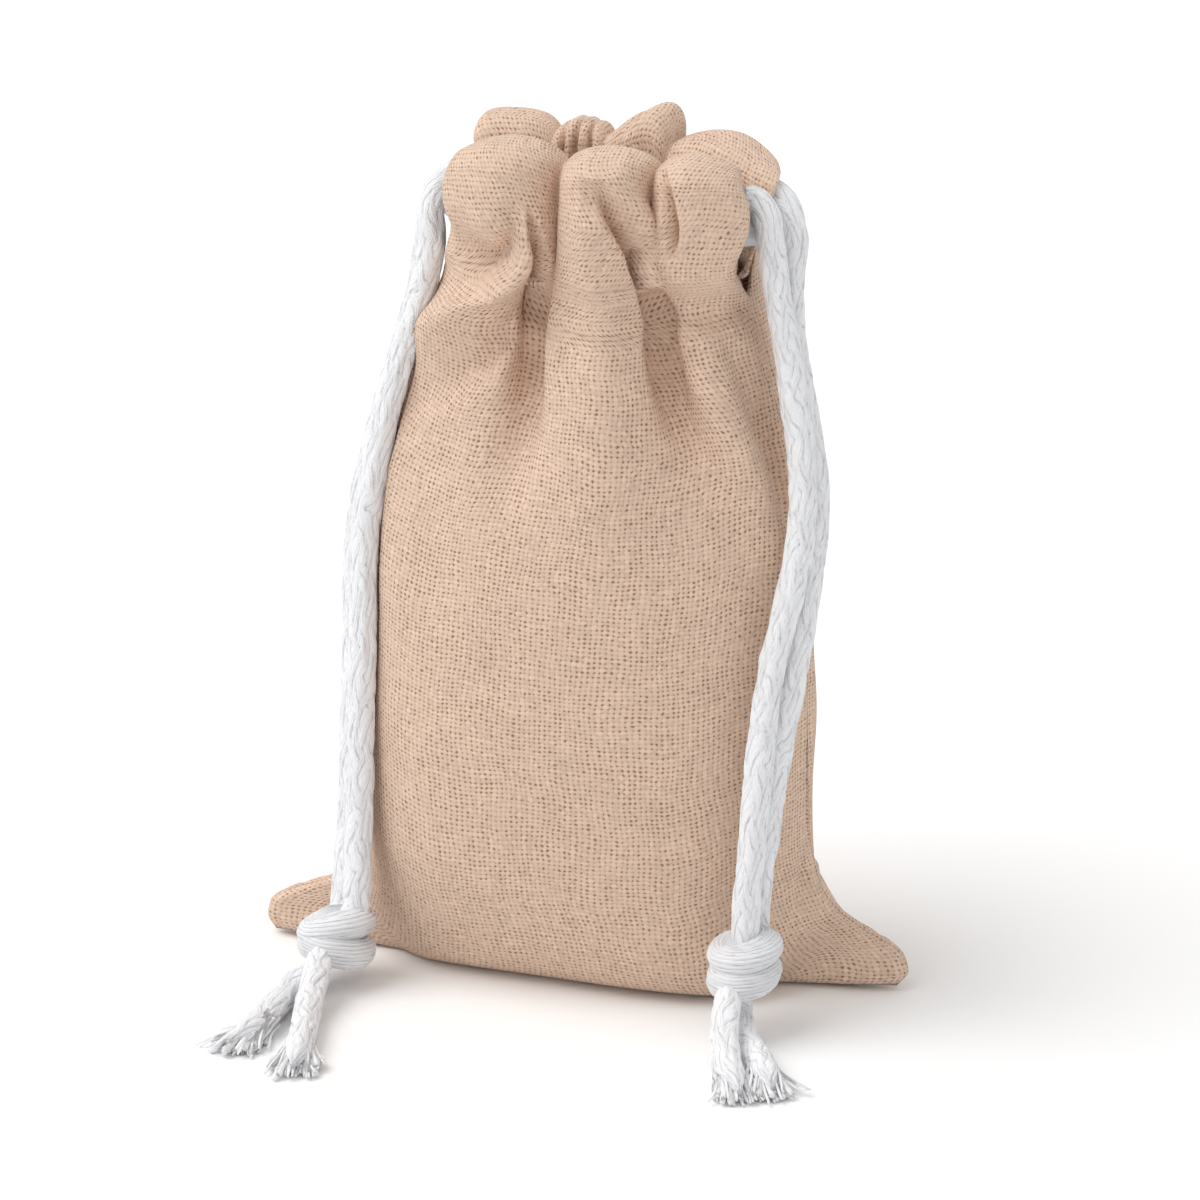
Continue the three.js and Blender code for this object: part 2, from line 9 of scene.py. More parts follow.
import bpy
import numpy as np
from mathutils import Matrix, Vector


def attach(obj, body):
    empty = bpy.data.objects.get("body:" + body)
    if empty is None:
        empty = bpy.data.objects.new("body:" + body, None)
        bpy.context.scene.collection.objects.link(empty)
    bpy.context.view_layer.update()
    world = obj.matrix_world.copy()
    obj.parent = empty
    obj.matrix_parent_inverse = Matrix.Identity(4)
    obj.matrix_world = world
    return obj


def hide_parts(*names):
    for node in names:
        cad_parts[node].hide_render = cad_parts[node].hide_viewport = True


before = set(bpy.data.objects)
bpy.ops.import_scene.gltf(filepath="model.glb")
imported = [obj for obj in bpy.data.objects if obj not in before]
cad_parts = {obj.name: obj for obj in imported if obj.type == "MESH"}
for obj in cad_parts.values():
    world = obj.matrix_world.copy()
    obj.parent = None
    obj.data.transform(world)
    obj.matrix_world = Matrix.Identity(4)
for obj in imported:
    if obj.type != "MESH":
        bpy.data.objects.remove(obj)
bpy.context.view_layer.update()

bl_info = {
    "name": "Cotton Drawstring Bag",
    "version": (1, 0, 0),
    "blender": (4, 5, 0),
    "location": "3D View > Sidebar > Drawstring Bag",
    "description": "Builds a full cotton bag with a gathered hem and two braided drawcords",
    "category": "Add Mesh",
}

MM = 0.001
BODY = "root"

# ---- the cloth's tables -------------------------------------------------------------------------
# Each has a row for a level of the cloth: s is the distance from the bottom seam, up the outside, over the
# rim and down the inside of the hem.

# The side seams: their height, and how far out the left and the right one stand.
SEAMS = (
    ("s", "z", "left", "right"),
    (0, 0.0, 51.0, 50.5),
    (3, 2.6, 52.4, 52.4),
    (6, 5.6, 51.8, 51.6),
    (9, 7.4, 49.0, 49.0),
    (14, 9.6, 43.2, 44.6),
    (19, 12.2, 39.4, 40.6),
    (24, 15.8, 36.8, 38.0),
    (34, 24.6, 35.0, 36.0),
    (54, 43.5, 34.8, 35.4),
    (74, 62.5, 34.5, 35.0),
    (94, 82.0, 31.9, 32.6),
    (114, 101.5, 26.4, 27.8),
    (123, 110.0, 23.0, 25.4),
    (128, 114.2, 20.8, 24.6),
    (134, 119.5, 19.0, 24.0),
    (140, 125.0, 18.6, 24.0),
    (146, 129.8, 18.6, 24.2),
    (150, 131.9, 18.6, 24.2),
    (153, 132.0, 18.6, 24.2),
    (157, 129.6, 18.2, 23.7),
    (162, 124.4, 17.8, 23.3),
    (167, 119.0, 17.8, 23.3),
    (170, 116.4, 17.8, 23.0),
    (173, 114.4, 17.8, 22.4),
)

# The middle of each panel, where it stands furthest out.
MIDDLES = (
    ("s", "front_y", "back_y", "z"),
    (0, -4.0, -4.0, 0.0),
    (3, -6.5, 0.5, 0.0),
    (6, -9.0, 5.0, 0.0),
    (9, -11.5, 9.5, 0.0),
    (14, -16.0, 15.4, 1.8),
    (19, -19.2, 18.6, 5.8),
    (24, -21.2, 20.6, 10.6),
    (34, -23.2, 22.8, 20.4),
    (54, -24.3, 24.2, 40.4),
    (74, -23.6, 23.0, 60.4),
    (94, -20.6, 19.6, 80.2),
    (114, -15.8, 15.2, 99.4),
    (123, -13.4, 13.0, 108.4),
    (128, -12.6, 12.4, 113.4),
    (134, -12.5, 12.3, 119.2),
    (140, -12.6, 12.4, 125.0),
    (146, -12.4, 12.2, 130.0),
    (150, -10.5, 10.3, 132.5),
    (153, -7.7, 7.5, 132.7),
    (157, -5.1, 4.4, 130.2),
    (162, -4.4, 3.8, 124.8),
    (167, -4.4, 3.8, 119.2),
    (170, -7.4, 7.2, 116.0),
    (173, -10.4, 10.2, 113.8),
)

# The outline of a level seen from above: its squareness, how far the hem's ends have parted there, and the
# distance from each end to the plane between the panels.
OUTLINES = (
    ("s", "square", "open", "apart"),
    (0, 2.6, 0, 0),
    (34, 2.6, 0, 0),
    (54, 2.5, 0, 0),
    (74, 2.4, 0, 0),
    (94, 2.3, 0, 0),
    (114, 2.2, 0, 0),
    (123, 2.1, 0.05, 0),
    (128, 2.1, 0.4, 3.4),
    (134, 2.0, 1, 8.9),
    (140, 2.0, 1, 9.1),
    (146, 2.0, 1, 8.6),
    (150, 2.0, 1, 6.4),
    (153, 2.0, 1, 3.4),
    (157, 2.0, 1, 0.9),
    (162, 2.0, 1, 0.45),
    (167, 2.0, 1, 0.45),
    (170, 2.0, 0.7, 0.9),
    (173, 2.0, 0.4, 1.0),
)

FLAT_WIDTH = 100.0  # the cloth of a panel before it was gathered
STITCHES = 128.0  # s where the hem is sewn down
CREST = 150.0  # s of the top of the rim
HEM_EDGE = 173.0  # s of the hem's inner edge, and so the length of the flat cloth
SEAM_SLIT = 0.1  # between the two panels along the side and bottom seams
SEAM_SWELL = {"high": 0.5, "off": 2.2, "wide": 1.2}  # how the cloth swells beside its sewn edge
FREE_OF_SEAM = (0, 5)  # from a seam to where nothing of it holds the cloth flat
PUCKERS = {"deep": 0.35, "each": 3.1, "group": 17}  # how that swelling comes and goes along the seam
STITCH_LINE = {"deep": 0.2, "wide": 0.8}
UNEVENNESS = {"high": 0.18, "count": 9, "shortest": 14, "longest": 40}
EAR_HALF_THICKNESS = 3.2  # the flattened bottom corners
EAR_SQUARENESS = 12
EAR_LIFT = {"up": 0.5, "from": (40.0, 51.0), "tall": 5.0}  # their tips stand a little off the surface
BODY_HALF_WIDTH = {"left": 35.0, "right": 35.2}
FOOT_REACH = 5  # how far past the body its filled foot reaches into the bottom corners
FOOT_POWERS = (4, 0.9)  # how square the filled foot's outline is
HEM_FREEDOM = 30  # how far past the middle plane the hem, where it is open, may go
SEAM_DEPTH = {"middle": -4.0, "swing": 4.0}  # bottom seam: how far forward, and how much it turns
SEAM_CENTRED_AT = 70.0  # height along the cloth where the side seams are back in the middle
SEAM_HEIGHTS = {"from": 0.5, "at": 42}  # heights change to the seam's from a share of the way out to there
CORD_STANDS_OUT = 0.35  # a cord's relief past its radius, and the gap that the cloth keeps from it
CLEARING_ROUNDS = 3  # pressing the cloth off one cord may bring it nearer to the next
CREASE_SOFTNESS = 0.012
PUFF_ROUNDNESS = 0.56  # half round at 0.5, a plain wave at 1
WAVE_SHARPNESS = 1.4  # of a gather below the hem
FOLD_SHARE = 0.5  # of a gather's height, already there just below the hem
FOLD_STEEPNESS = 1.2
FOLD_FADES_AT = 3.2  # half widths from the line of a pressed fold to where nothing of it is left
SKEW_STEEPNESS = 1.5
YARN_SPREAD = 0.6  # how much of a level's gathering the yarns' spacing takes up: 0 none, 1 all

# Where along s a part of the shape comes in or dies away.
TURN_FADES = (6, 36)
FOOT_FADES = (14, 44)
EARS_FADE = (24, 40)
UNEVENNESS_GROWS, UNEVENNESS_FADES = (4, 20), (150, 156)
SWELL_GROWS, SWELL_FADES = (1, 7), (112, 124)
HEM_PARTS, HEM_MEETS = (124, 130), (156, 162)
WAVE_TO_PUFF = (100, 134)
FOLD_ENDS = 126
PUFF_GROWS, PUFF_FADES = (124, 140), (146, 156)
RIM_RISES, RIM_SINKS = (STITCHES, 148), (152, 168)
INNER_HEM = CREST + 10
EDGE_GATHERS = (HEM_EDGE - 5, HEM_EDGE)

# How closely shapes are worked out.
ROW_POINTS = 241  # points that a level is worked out at before it is shared out evenly
SMALL_STEP = 0.001  # the share of a level's half over which its direction is taken
CURVE_STEPS = 60  # points on a route's curve from one of its own points to the next
FOLD_STEP = 0.7  # along the line of a fold
CLEARING_STEP = 0.4  # along a cord that presses the cloth

# Spacing of the mesh's levels up to each s, and the number of its columns.
LEVEL_STEPS = ((12, 1.0), (98, 1.7), (122, 0.9), (160, 0.5), (HEM_EDGE, 1.0))
COLUMNS = 265

# The gathers of a panel, from one crease to the next across it (-1 is the left seam, 1 the right): how far
# each stands out, how far its top stands up, the s where it dies away, and which way its crown leans.
GATHERS = {
    "front": (
        ("from", "to", "out", "rise", "fade", "lean"),
        (-1.0, -0.18, 7.4, 3.4, 94, -0.35),
        (-0.18, 0.48, 8.4, 3.2, 58, 0.0),
        (0.48, 1.0, 6.4, 2.6, 84, 0.1),
    ),
    "back": (
        ("from", "to", "out", "rise", "fade", "lean"),
        (-1.0, -0.5, 6.0, 2.4, 88, 0.0),
        (-0.5, -0.12, 0.0, 2.4, 110, 0.0),
        (-0.5, -0.42, 1.4, 0, 106, 0.0),
        (-0.42, -0.31, 2.2, 0, 100, 0.0),
        (-0.31, -0.22, 1.5, 0, 106, 0.0),
        (-0.22, -0.12, 2.0, 0, 102, 0.0),
        (-0.12, 0.37, 6.5, 4.6, 80, -0.7),
        (0.37, 1.0, 8.6, 1.0, 86, 0.4),
    ),
}

# Folds pressed into a panel. Each follows a smooth line through points (x, s) of the flat cloth, and has at
# each how far it stands out of the cloth (or in, below 0) and its half width. With a skew above 0, its left
# side is wider and softer, looking along the line.
FOLDS = {
    "front": (
        # under the left gather, and the roll from the slit down to the left shoulder
        {"skew": 0.3, "line": ((-47, 134, -1.5, 3.0), (-38, 132.5, -3.6, 2.8), (-28, 131.5, -4.6, 2.6),
                               (-22, 134, -3.6, 2.4), (-18.5, 138, -1.4, 2.4))},
        {"line": ((-15.5, 134, 2.2, 2.4), (-21, 127.5, 3.6, 3.0), (-30, 121.5, 3.2, 3.6),
                  (-40, 116, 1.6, 4.0))},
        {"line": ((-12, 127, -2.4, 2.2), (-17, 119.5, -3.0, 3.2), (-26, 112.5, -2.2, 3.8),
                  (-36, 106, -0.8, 4.0))},
        # the slit, and the wide trough that it runs out into
        {"line": ((-14.6, 140, -0.9, 0.9), (-13.6, 135.5, -4.8, 1.1), (-12, 129.5, -5.4, 1.5),
                  (-10.5, 124, -4.2, 2.1))},
        {"line": ((-10, 124, -3.0, 2.4), (-9.4, 117, -5.2, 3.0), (-8.6, 109, -3.8, 4.2),
                  (-9, 98, -1.2, 5.0))},
        # the middle gather's dimple, its crease, and the flap beside it
        {"skew": 0.35, "line": ((6.5, 143, -1.6, 3.0), (11, 142.5, -3.2, 2.6), (15.5, 139.5, -4.2, 1.9),
                                (19.2, 135.8, -4.4, 1.5), (20.6, 131, -4.0, 1.4),
                                (20.8, 126.5, -2.4, 1.6))},
        {"line": ((15, 146, 0.8, 3.0), (21, 141.5, 2.4, 2.2), (23.8, 136, 3.3, 1.8),
                  (23.6, 131, 3.0, 1.5))},
        # the ridge down the middle, and the trough to its right
        {"line": ((6, 134, 0.6, 5.0), (9, 124, 1.6, 6.0), (10, 112, 2.2, 6.5), (10, 100, 1.6, 7.0),
                  (9.5, 88, 0.4, 7.0))},
        {"line": ((22.5, 127.5, -4.6, 1.9), (22.3, 121, -6.2, 2.5), (24.2, 113, -4.8, 3.4),
                  (29, 103, -2.6, 4.2), (36, 92, -0.9, 5.0))},
        # the pocket between the middle and the right gather, and the band under the right one
        {"line": ((28, 147.5, -1.4, 1.0), (30.5, 143, -4.8, 1.4), (32.4, 139, -5.0, 1.6),
                  (33, 136, -1.4, 1.4))},
        {"line": ((27, 125, -1.4, 2.6), (35, 124.5, -2.4, 2.8), (45, 124, -2.0, 3.0))},
        # the long fold down to the right
        {"line": ((29, 113, 1.2, 4.2), (34.5, 101, 2.8, 4.6), (40, 88, 2.4, 4.6), (43, 74, 0.5, 5.0))},
        {"line": ((38, 118, -2.0, 3.4), (43, 104, -3.0, 3.6), (46, 92, -2.0, 3.6),
                  (47.5, 80, -0.4, 4.0))},
        # the soft hollow at the left shoulder
        {"line": ((-44, 108, 0.6, 4.0), (-39, 94, 1.3, 4.5), (-34, 80, 0.5, 5.0))},
        {"line": ((-27, 100, -0.9, 6.0), (-22, 84, -0.9, 7.0), (-19, 70, -0.2, 7.0))},
    ),
    "back": (
        # the pleats of the narrow gathers, on the side of the hem that faces the mouth
        {"line": ((-21.4, 152, -0.2, 0.8), (-21.2, 156.5, -1.7, 1.0), (-20.6, 164, -1.2, 1.3))},
        {"line": ((-15.6, 152, -0.2, 0.8), (-16.2, 156.5, -1.9, 1.0), (-16.8, 164, -1.3, 1.3))},
        {"line": ((-11.0, 152, -0.2, 0.8), (-10.6, 156.5, -1.7, 1.0), (-10.8, 164, -1.2, 1.3))},
        # the crease that comes down the peak, and the lines below it
        {"skew": 0.4, "line": ((2, 154, -0.6, 1.6), (5, 149, -2.2, 1.6), (9, 143, -2.8, 2.0),
                               (12, 134, -1.6, 3.0))},
        {"line": ((-12, 128, -1.6, 3.0), (-9, 116, -2.0, 4.0), (-8, 102, -0.6, 5.0))},
        {"line": ((24, 126, -1.8, 2.8), (26, 114, -2.2, 4.0), (30, 100, -0.8, 5.0))},
        {"line": ((-34, 124, -1.8, 3.0), (-32, 114, -1.8, 4.0), (-33, 102, -0.5, 5.0))},
    ),
}

# Places in the mouth where a panel is drawn aside: the middle of the place on the flat cloth, its half width
# and half height, and how far it moves to the right, back and up.
PULLS = {
    "front": (
        ("x", "s", "wide", "tall", "right", "back", "up"),
        (-45, 141, 8, 8, -2.4, 0, 0),
        (-50, 130, 6, 6, -1.3, 0, 0),
        (47, 141, 7, 9, 5.0, 0, 0),
    ),
    "back": (
        ("x", "s", "wide", "tall", "right", "back", "up"),
        (-45, 150, 8, 8, -3.0, 0, 1.0),
        (50, 156, 8, 12, 5.2, -0.6, -2.2),
    ),
}

PANELS = {
    "front": {"node": "front_panel", "sign": -1, "y": "front_y", "turn": 0.42, "seed": 5},
    "back": {"node": "back_panel", "sign": 1, "y": "back_y", "turn": 0.0, "seed": 8},
}

# ---- the cords' tables --------------------------------------------------------------------------
# The free runs, from the side of the hem down to the knot, and the tails beyond it, as in the part.
FREE_RUNS = {
    "left_front": (
        (-19.85, -4.05, 127.8), (-21.4, -3.6, 127.5), (-23.3, -4.6, 125.4), (-24.1, -5.9, 122.0),
        (-24.0, -6.4, 117.0), (-25.2, -6.8, 110.0), (-27.7, -8.0, 101.0), (-30.5, -9.3, 90.2),
        (-32.2, -10.7, 80.7), (-33.2, -12.3, 71.0), (-32.9, -14.6, 58.0), (-32.5, -17.2, 43.0),
        (-32.1, -19.6, 28.0), (-31.9, -21.6, 17.0), (-31.9, -22.7, 11.7),
    ),
    "left_rear": (
        (-19.9, 4.05, 127.8), (-21.8, 3.4, 127.3), (-24.6, 2.2, 125.4), (-26.4, 1.0, 122.0),
        (-26.6, -0.4, 117.0), (-27.4, -1.8, 110.0), (-29.4, -3.2, 101.0), (-32.2, -4.7, 90.2),
        (-34.4, -6.4, 80.7), (-35.7, -8.2, 71.0), (-35.6, -10.6, 58.0), (-35.2, -13.2, 43.0),
        (-34.9, -15.6, 28.0), (-35.0, -17.9, 17.0), (-35.1, -19.2, 11.0),
    ),
    "right_front": (
        (25.4, -4.1, 127.8), (27.1, -3.6, 127.5), (29.3, -4.6, 125.4), (30.4, -5.8, 121.6),
        (31.4, -6.6, 116.0), (33.2, -7.4, 108.0), (35.0, -8.6, 99.0), (36.9, -10.2, 89.0),
        (37.6, -12.4, 79.5), (36.6, -15.4, 69.0), (34.7, -18.3, 58.0), (33.7, -20.7, 44.0),
        (33.1, -22.8, 29.0), (32.7, -23.7, 21.0), (32.7, -24.0, 16.6),
    ),
    "right_rear": (
        (25.45, 4.1, 127.8), (27.4, 3.4, 127.4), (30.3, 2.4, 125.6), (32.1, 0.9, 121.6),
        (32.2, -0.9, 116.0), (32.6, -2.4, 108.0), (34.4, -3.7, 99.0), (37.0, -5.2, 89.0),
        (38.4, -7.5, 79.5), (38.3, -10.8, 69.0), (37.3, -14.0, 58.0), (35.4, -16.0, 44.0),
        (33.7, -18.0, 29.0), (33.0, -19.0, 21.0), (33.0, -19.3, 16.1),
    ),
}
TAILS = {
    "left_front": (
        (-35.2, -28.9, 6.8), (-34.3, -34.2, 5.2), (-32.9, -41.2, 2.9), (-30.8, -48.8, 2.3),
        (-28.9, -56.0, 2.3), (-27.5, -62.4, 2.3),
    ),
    "left_rear": (
        (-36.9, -27.5, 2.4), (-38.2, -32.2, 2.3), (-38.5, -38.0, 2.3), (-38.4, -44.8, 2.3),
        (-38.8, -51.4, 2.3), (-40.2, -57.0, 2.3),
    ),
    "right_front": (
        (31.9, -28.6, 9.2), (32.4, -33.0, 7.1), (33.6, -38.0, 5.2), (35.4, -42.6, 3.4),
        (37.6, -46.8, 2.4), (39.9, -50.8, 2.3),
    ),
    "right_rear": (
        (32.5, -25.9, 4.0), (34.4, -30.5, 2.5), (37.1, -35.2, 2.3), (39.7, -39.8, 2.3),
        (42.1, -44.0, 2.3), (44.2, -48.0, 2.3),
    ),
}

# How yarns stray in the braid and in a knot: by how many yarns, turns round the cord, and the length along.
BRAID_WANDER = ((0.30, 1, 5.3), (0.24, 2, -7.1), (0.16, 3, 2.3), (0.4, 0, 21), (0.12, 5, -1.5))
KNOT_WANDER = ((0.35, 1, 4.0), (0.3, 2, -6.5))
BRAID_REPEAT = 61  # crossings before the braid's unevenness comes again
YARN_SHARES = {"round": 0.58, "rise": 0.42, "uneven": 0.22}  # what makes up a yarn's height in the braid
BRAID_MEAN = 0.85  # the yarns' height that lies at the cord's radius
CORD_SWELLS = ((0.05, 9.0), (0.04, 4.3))  # slow swellings of a cord, and the length along it of each
MIDDLE_OF_YARN = 0.5
OFF_FLOOR = 0.02  # the lowest that cord lies over the floor

# The hidden runs lie one above the other in the hem, and change places inside one gather of each panel.
CHANNEL_ROUTE = {"middle_z": 125.3, "swap": 2.6, "turn_z": 122.0, "middle_y": 8.6, "end_y": 4.3}
CHANNEL_END = {"left": -19.2, "right": 24.8}
CHANGE_PLACES = {
    "front": {"from": -16.5, "to": -1.5, "left": 5.6, "right": 0.0, "before": 1, "after": 3},
    "back": {"from": 13.5, "to": 22.4, "left": 5.6, "right": -0.9, "before": 4, "after": 1},
}
CHANGE_STEPS = 4
TURN_REACH = 2.6

# Each knot: its middle, the turn of its face about the upright axis, and the wraps of cord that show on it.
# A wrap's points are across, out and up from the middle of the knot.
KNOTS = {
    "left": {
        "at": (-34.9, -23.0, 7.6),
        "core": (4.4, 4.6, 4.6),
        "wraps": {
            "upper": (
                (1.4, -3.2, 1.2), (-1.8, -2.6, 0.2), (-3.7, 0.0, 0.0), (-3.3, 3.0, 0.9), (-0.6, 4.4, 2.4),
                (2.5, 3.1, 2.8), (3.6, 0.2, 2.2), (1.6, -2.6, 1.8),
            ),
            "lower": (
                (-1.5, -3.0, -0.8), (-3.5, -0.4, -1.2), (-3.6, 3.0, -0.5), (-1.2, 5.6, -0.5),
                (2.2, 4.7, -1.5), (3.6, 0.8, -2.6), (1.8, -2.4, -2.0),
            ),
        },
    },
    "right": {
        "at": (32.5, -23.4, 12.0),
        "core": (3.9, 3.9, 4.2),
        "wraps": {
            "upper": (
                (-1.5, -2.8, 1.2), (-3.2, -0.6, 0.7), (-3.0, 2.4, 0.8), (-0.8, 4.1, 1.3), (2.0, 3.3, 2.1),
                (3.2, 0.6, 2.6), (2.0, -2.4, 2.3),
            ),
            "lower": (
                (-1.2, -2.8, -1.8), (-3.2, -0.6, -2.6), (-3.4, 2.6, -2.7), (-1.4, 4.8, -2.4),
                (1.4, 4.2, -1.9), (3.1, 1.6, -1.5), (2.7, -1.6, -1.4),
            ),
        },
    },
}
KNOT_FACE = math.radians(18)
TIGHT = {"lay": 9.0, "relief": 0.3, "mean": 0.7, "bundle": 0.12}  # the yarns of cord pulled tight
WRAP_RADIUS = 2.55


# ---- sizes and colours that a user would change -------------------------------------------------
class BagClothSettings(bpy.types.PropertyGroup):
    """Sizes and colours of the two cloth panels."""

    thickness: bpy.props.FloatProperty(
        name="Cloth thickness", description="Thickness of the woven cloth", default=0.0007, unit="LENGTH")
    yarn_across: bpy.props.FloatProperty(
        name="Yarns across", description="Distance between upright yarns", default=0.00088, unit="LENGTH")
    yarn_along: bpy.props.FloatProperty(
        name="Yarns along", description="Distance between level yarns", default=0.00074, unit="LENGTH")
    yarn_depth: bpy.props.FloatProperty(
        name="Weave depth", description="How far the yarns stand out of the weave", default=0.00018,
        unit="LENGTH")
    colour: bpy.props.FloatVectorProperty(
        name="Cloth colour", description="Colour of the yarns", subtype="COLOR", default=(0.765, 0.56, 0.43))
    # painted shade: the dark colour that the weave's holes are given
    hole_shade_colour: bpy.props.FloatVectorProperty(
        name="Hole colour", description="Colour in the holes of the weave", subtype="COLOR",
        default=(0.33, 0.185, 0.11))


class BagCordSettings(bpy.types.PropertyGroup):
    """Sizes and colours of the drawcords and their knots."""

    diameter: bpy.props.FloatProperty(
        name="Cord diameter", description="Diameter of the braided cord", default=0.0044, unit="LENGTH")
    carriers: bpy.props.IntProperty(
        name="Yarns each way", description="Yarns that wind each way round the cord", default=10, min=4)
    lay: bpy.props.FloatProperty(
        name="Braid step", description="Length of cord in which a yarn moves one place round it",
        default=0.0042, unit="LENGTH")
    relief: bpy.props.FloatProperty(
        name="Braid relief", description="How far the yarns stand out of the cord", default=0.00034,
        unit="LENGTH")
    fray: bpy.props.FloatProperty(
        name="Frayed length", description="Length of the loose yarns at the cord's ends", default=0.008,
        unit="LENGTH")
    colour: bpy.props.FloatVectorProperty(
        name="Cord colour", description="Colour of the cord", subtype="COLOR", default=(0.92, 0.925, 0.945))


class BagStageSettings(bpy.types.PropertyGroup):
    """The camera, the lights and the floor."""

    azimuth: bpy.props.FloatProperty(
        name="Azimuth", description="Direction of the camera round the bag", default=math.radians(18),
        subtype="ANGLE")
    elevation: bpy.props.FloatProperty(
        name="Elevation", description="Height of the camera over the floor, as an angle",
        default=math.radians(19), subtype="ANGLE")
    distance: bpy.props.FloatProperty(
        name="Distance", description="From the camera to the bag", default=0.9, unit="LENGTH")
    aim_height: bpy.props.FloatProperty(
        name="Aim height", description="Height that the camera looks at", default=0.062, unit="LENGTH")
    lens: bpy.props.FloatProperty(
        name="Lens", description="Focal length in millimetres", default=172.0, unit="CAMERA")
    shift: bpy.props.FloatVectorProperty(
        name="Shift", description="Shift of the picture, as shares of its width", size=2,
        default=(8 / 1200, -15 / 1200))
    key_strength: bpy.props.FloatProperty(
        name="Key light", description="Strength of the soft light from the upper left", default=1.6)
    sky_strength: bpy.props.FloatProperty(
        name="Room light", description="Strength of the even light all round", default=0.67)
    floor_size: bpy.props.FloatProperty(
        name="Floor size", description="Side of the square floor", default=8.0, unit="LENGTH")


# ---- shapes -------------------------------------------------------------------------------------
def smooth_step(low, high, x):
    """0 below low, 1 above high and 3u^2 - 2u^3 between them, where u is the share of the way."""
    u = np.clip((x - low) / (high - low), 0, 1)
    return u * u * (3 - 2 * u)


def level_curve(xs, ys):
    """A smooth curve through points: cubic pieces whose slopes are flat at turning points."""
    step = np.diff(xs)
    rise = np.diff(ys) / step
    before, after, h0, h1 = rise[:-1], rise[1:], step[:-1], step[1:]
    one_way = before * after > 0
    below = (2 * h1 + h0) / np.where(one_way, before, 1) + (h1 + 2 * h0) / np.where(one_way, after, 1)
    inner = np.where(one_way, 3 * (h0 + h1) / np.where(one_way, below, 1), 0)
    slope = np.concatenate([[rise[0]], inner, [rise[-1]]])

    def value(x):
        """The cubic between x's two neighbours that has their heights and slopes."""
        k = np.clip(np.searchsorted(xs, x, side="right") - 1, 0, len(xs) - 2)
        h = step[k]
        u = (x - xs[k]) / h
        start = (2 * u**3 - 3 * u**2 + 1) * ys[k] + (u**3 - 2 * u**2 + u) * h * slope[k]
        return start + (3 * u**2 - 2 * u**3) * ys[k + 1] + (u**3 - u**2) * h * slope[k + 1]

    return value


def level_curves(table):
    """One curve over s for each named column of a table."""
    rows = np.array(table[1:], float)
    return {name: level_curve(rows[:, 0], rows[:, k]) for k, name in enumerate(table[0]) if k}


def named_rows(table):
    """The rows of a table as dictionaries."""
    return [dict(zip(table[0], row)) for row in table[1:]]


SEAM = level_curves(SEAMS)
MIDDLE = level_curves(MIDDLES)
OUTLINE = level_curves(OUTLINES)


def seam_plane(s, across):
    """How far back the plane between the panels is, at a share across: it turns towards the bottom."""
    low = 1 - smooth_step(0, SEAM_CENTRED_AT, s)
    return low * (SEAM_DEPTH["middle"] + SEAM_DEPTH["swing"] * across)


def panel_depth(panel, s, across, half):
    """Depth of a panel in front of the plane of its seams: a rounded rectangle that opens into an arch at the
    hem, with a flat lobe for each bottom corner."""
    x = half * across
    body = np.minimum(np.where(across < 0, BODY_HALF_WIDTH["left"], BODY_HALF_WIDTH["right"]), half)
    middle = np.abs(MIDDLE[panel["y"]](s) - seam_plane(s, 0))
    square = OUTLINE["square"](s)
    upright = (1 - np.minimum(np.abs(x) / body, 1) ** square) ** (1 / square)
    foot = 1 - np.minimum(np.abs(x) / np.minimum(body + FOOT_REACH, half), 1) ** FOOT_POWERS[0]
    foot = foot ** FOOT_POWERS[1]
    near_foot = 1 - smooth_step(*FOOT_FADES, s)
    lean = 1 + (panel["turn"] * (1 - smooth_step(*TURN_FADES, s)) * x) / body
    closed = (upright * (1 - near_foot) + foot * near_foot) * lean
    opened = OUTLINE["open"](s)
    shape = closed * (1 - opened) + (1 - across**2) * opened
    apart = OUTLINE["apart"](s)
    bulge = apart + (middle - apart) * shape
    rounding = np.maximum(EAR_HALF_THICKNESS - s, 0)
    ear_end = np.sqrt(1 - np.abs(across) ** EAR_SQUARENESS)
    ear = np.sqrt(EAR_HALF_THICKNESS**2 - rounding**2) * ear_end * (1 - smooth_step(*EARS_FADE, s))
    return np.cbrt(bulge**3 + ear**3)


def reach_along(points):
    """The distance of each point from the first one, along its own row of points."""
    steps = np.linalg.norm(np.diff(points, axis=-2), axis=-1)
    return np.concatenate([np.zeros(steps.shape[:-1] + (1,)), np.cumsum(steps, axis=-1)], axis=-1)


def level_rows(panel, s):
    """Levels of a panel as closely spaced points from seam to seam, with their distances from the left."""
    across = np.sin(np.linspace(-1, 1, ROW_POINTS) * math.pi / 2)[None, :]
    s = s[:, None]
    half = np.where(across < 0, SEAM["left"](s), SEAM["right"](s))
    y = seam_plane(s, across) + panel["sign"] * (SEAM_SLIT / 2 + panel_depth(panel, s, across, half))
    seam_from, seam_at = half * SEAM_HEIGHTS["from"], np.minimum(SEAM_HEIGHTS["at"], half)
    to_seam = smooth_step(seam_from, seam_at, np.abs(across) * half)
    z = MIDDLE["z"](s) * (1 - to_seam) + SEAM["z"](s) * to_seam
    points = np.stack([half * across, y, z], axis=-1)
    reach = reach_along(points)
    return points, reach / reach[:, -1:]


def along_rows(rows, t):
    """Points of the levels at the shares t across, -1 to 1, by distance along each level."""
    points, share = rows
    count, size = share.shape
    lift = 2.0 * np.arange(count)[:, None]
    goal = np.clip((t + 1) / 2, 0, 1) + lift
    at = np.interp(goal.ravel(), (share + lift).ravel(), np.arange(count * size, dtype=float))
    low = np.minimum(at.astype(int), count * size - 2)
    part = (at - low)[:, None]
    flat = points.reshape(-1, 3)
    return (flat[low] * (1 - part) + flat[low + 1] * part).reshape(goal.shape + (3,))


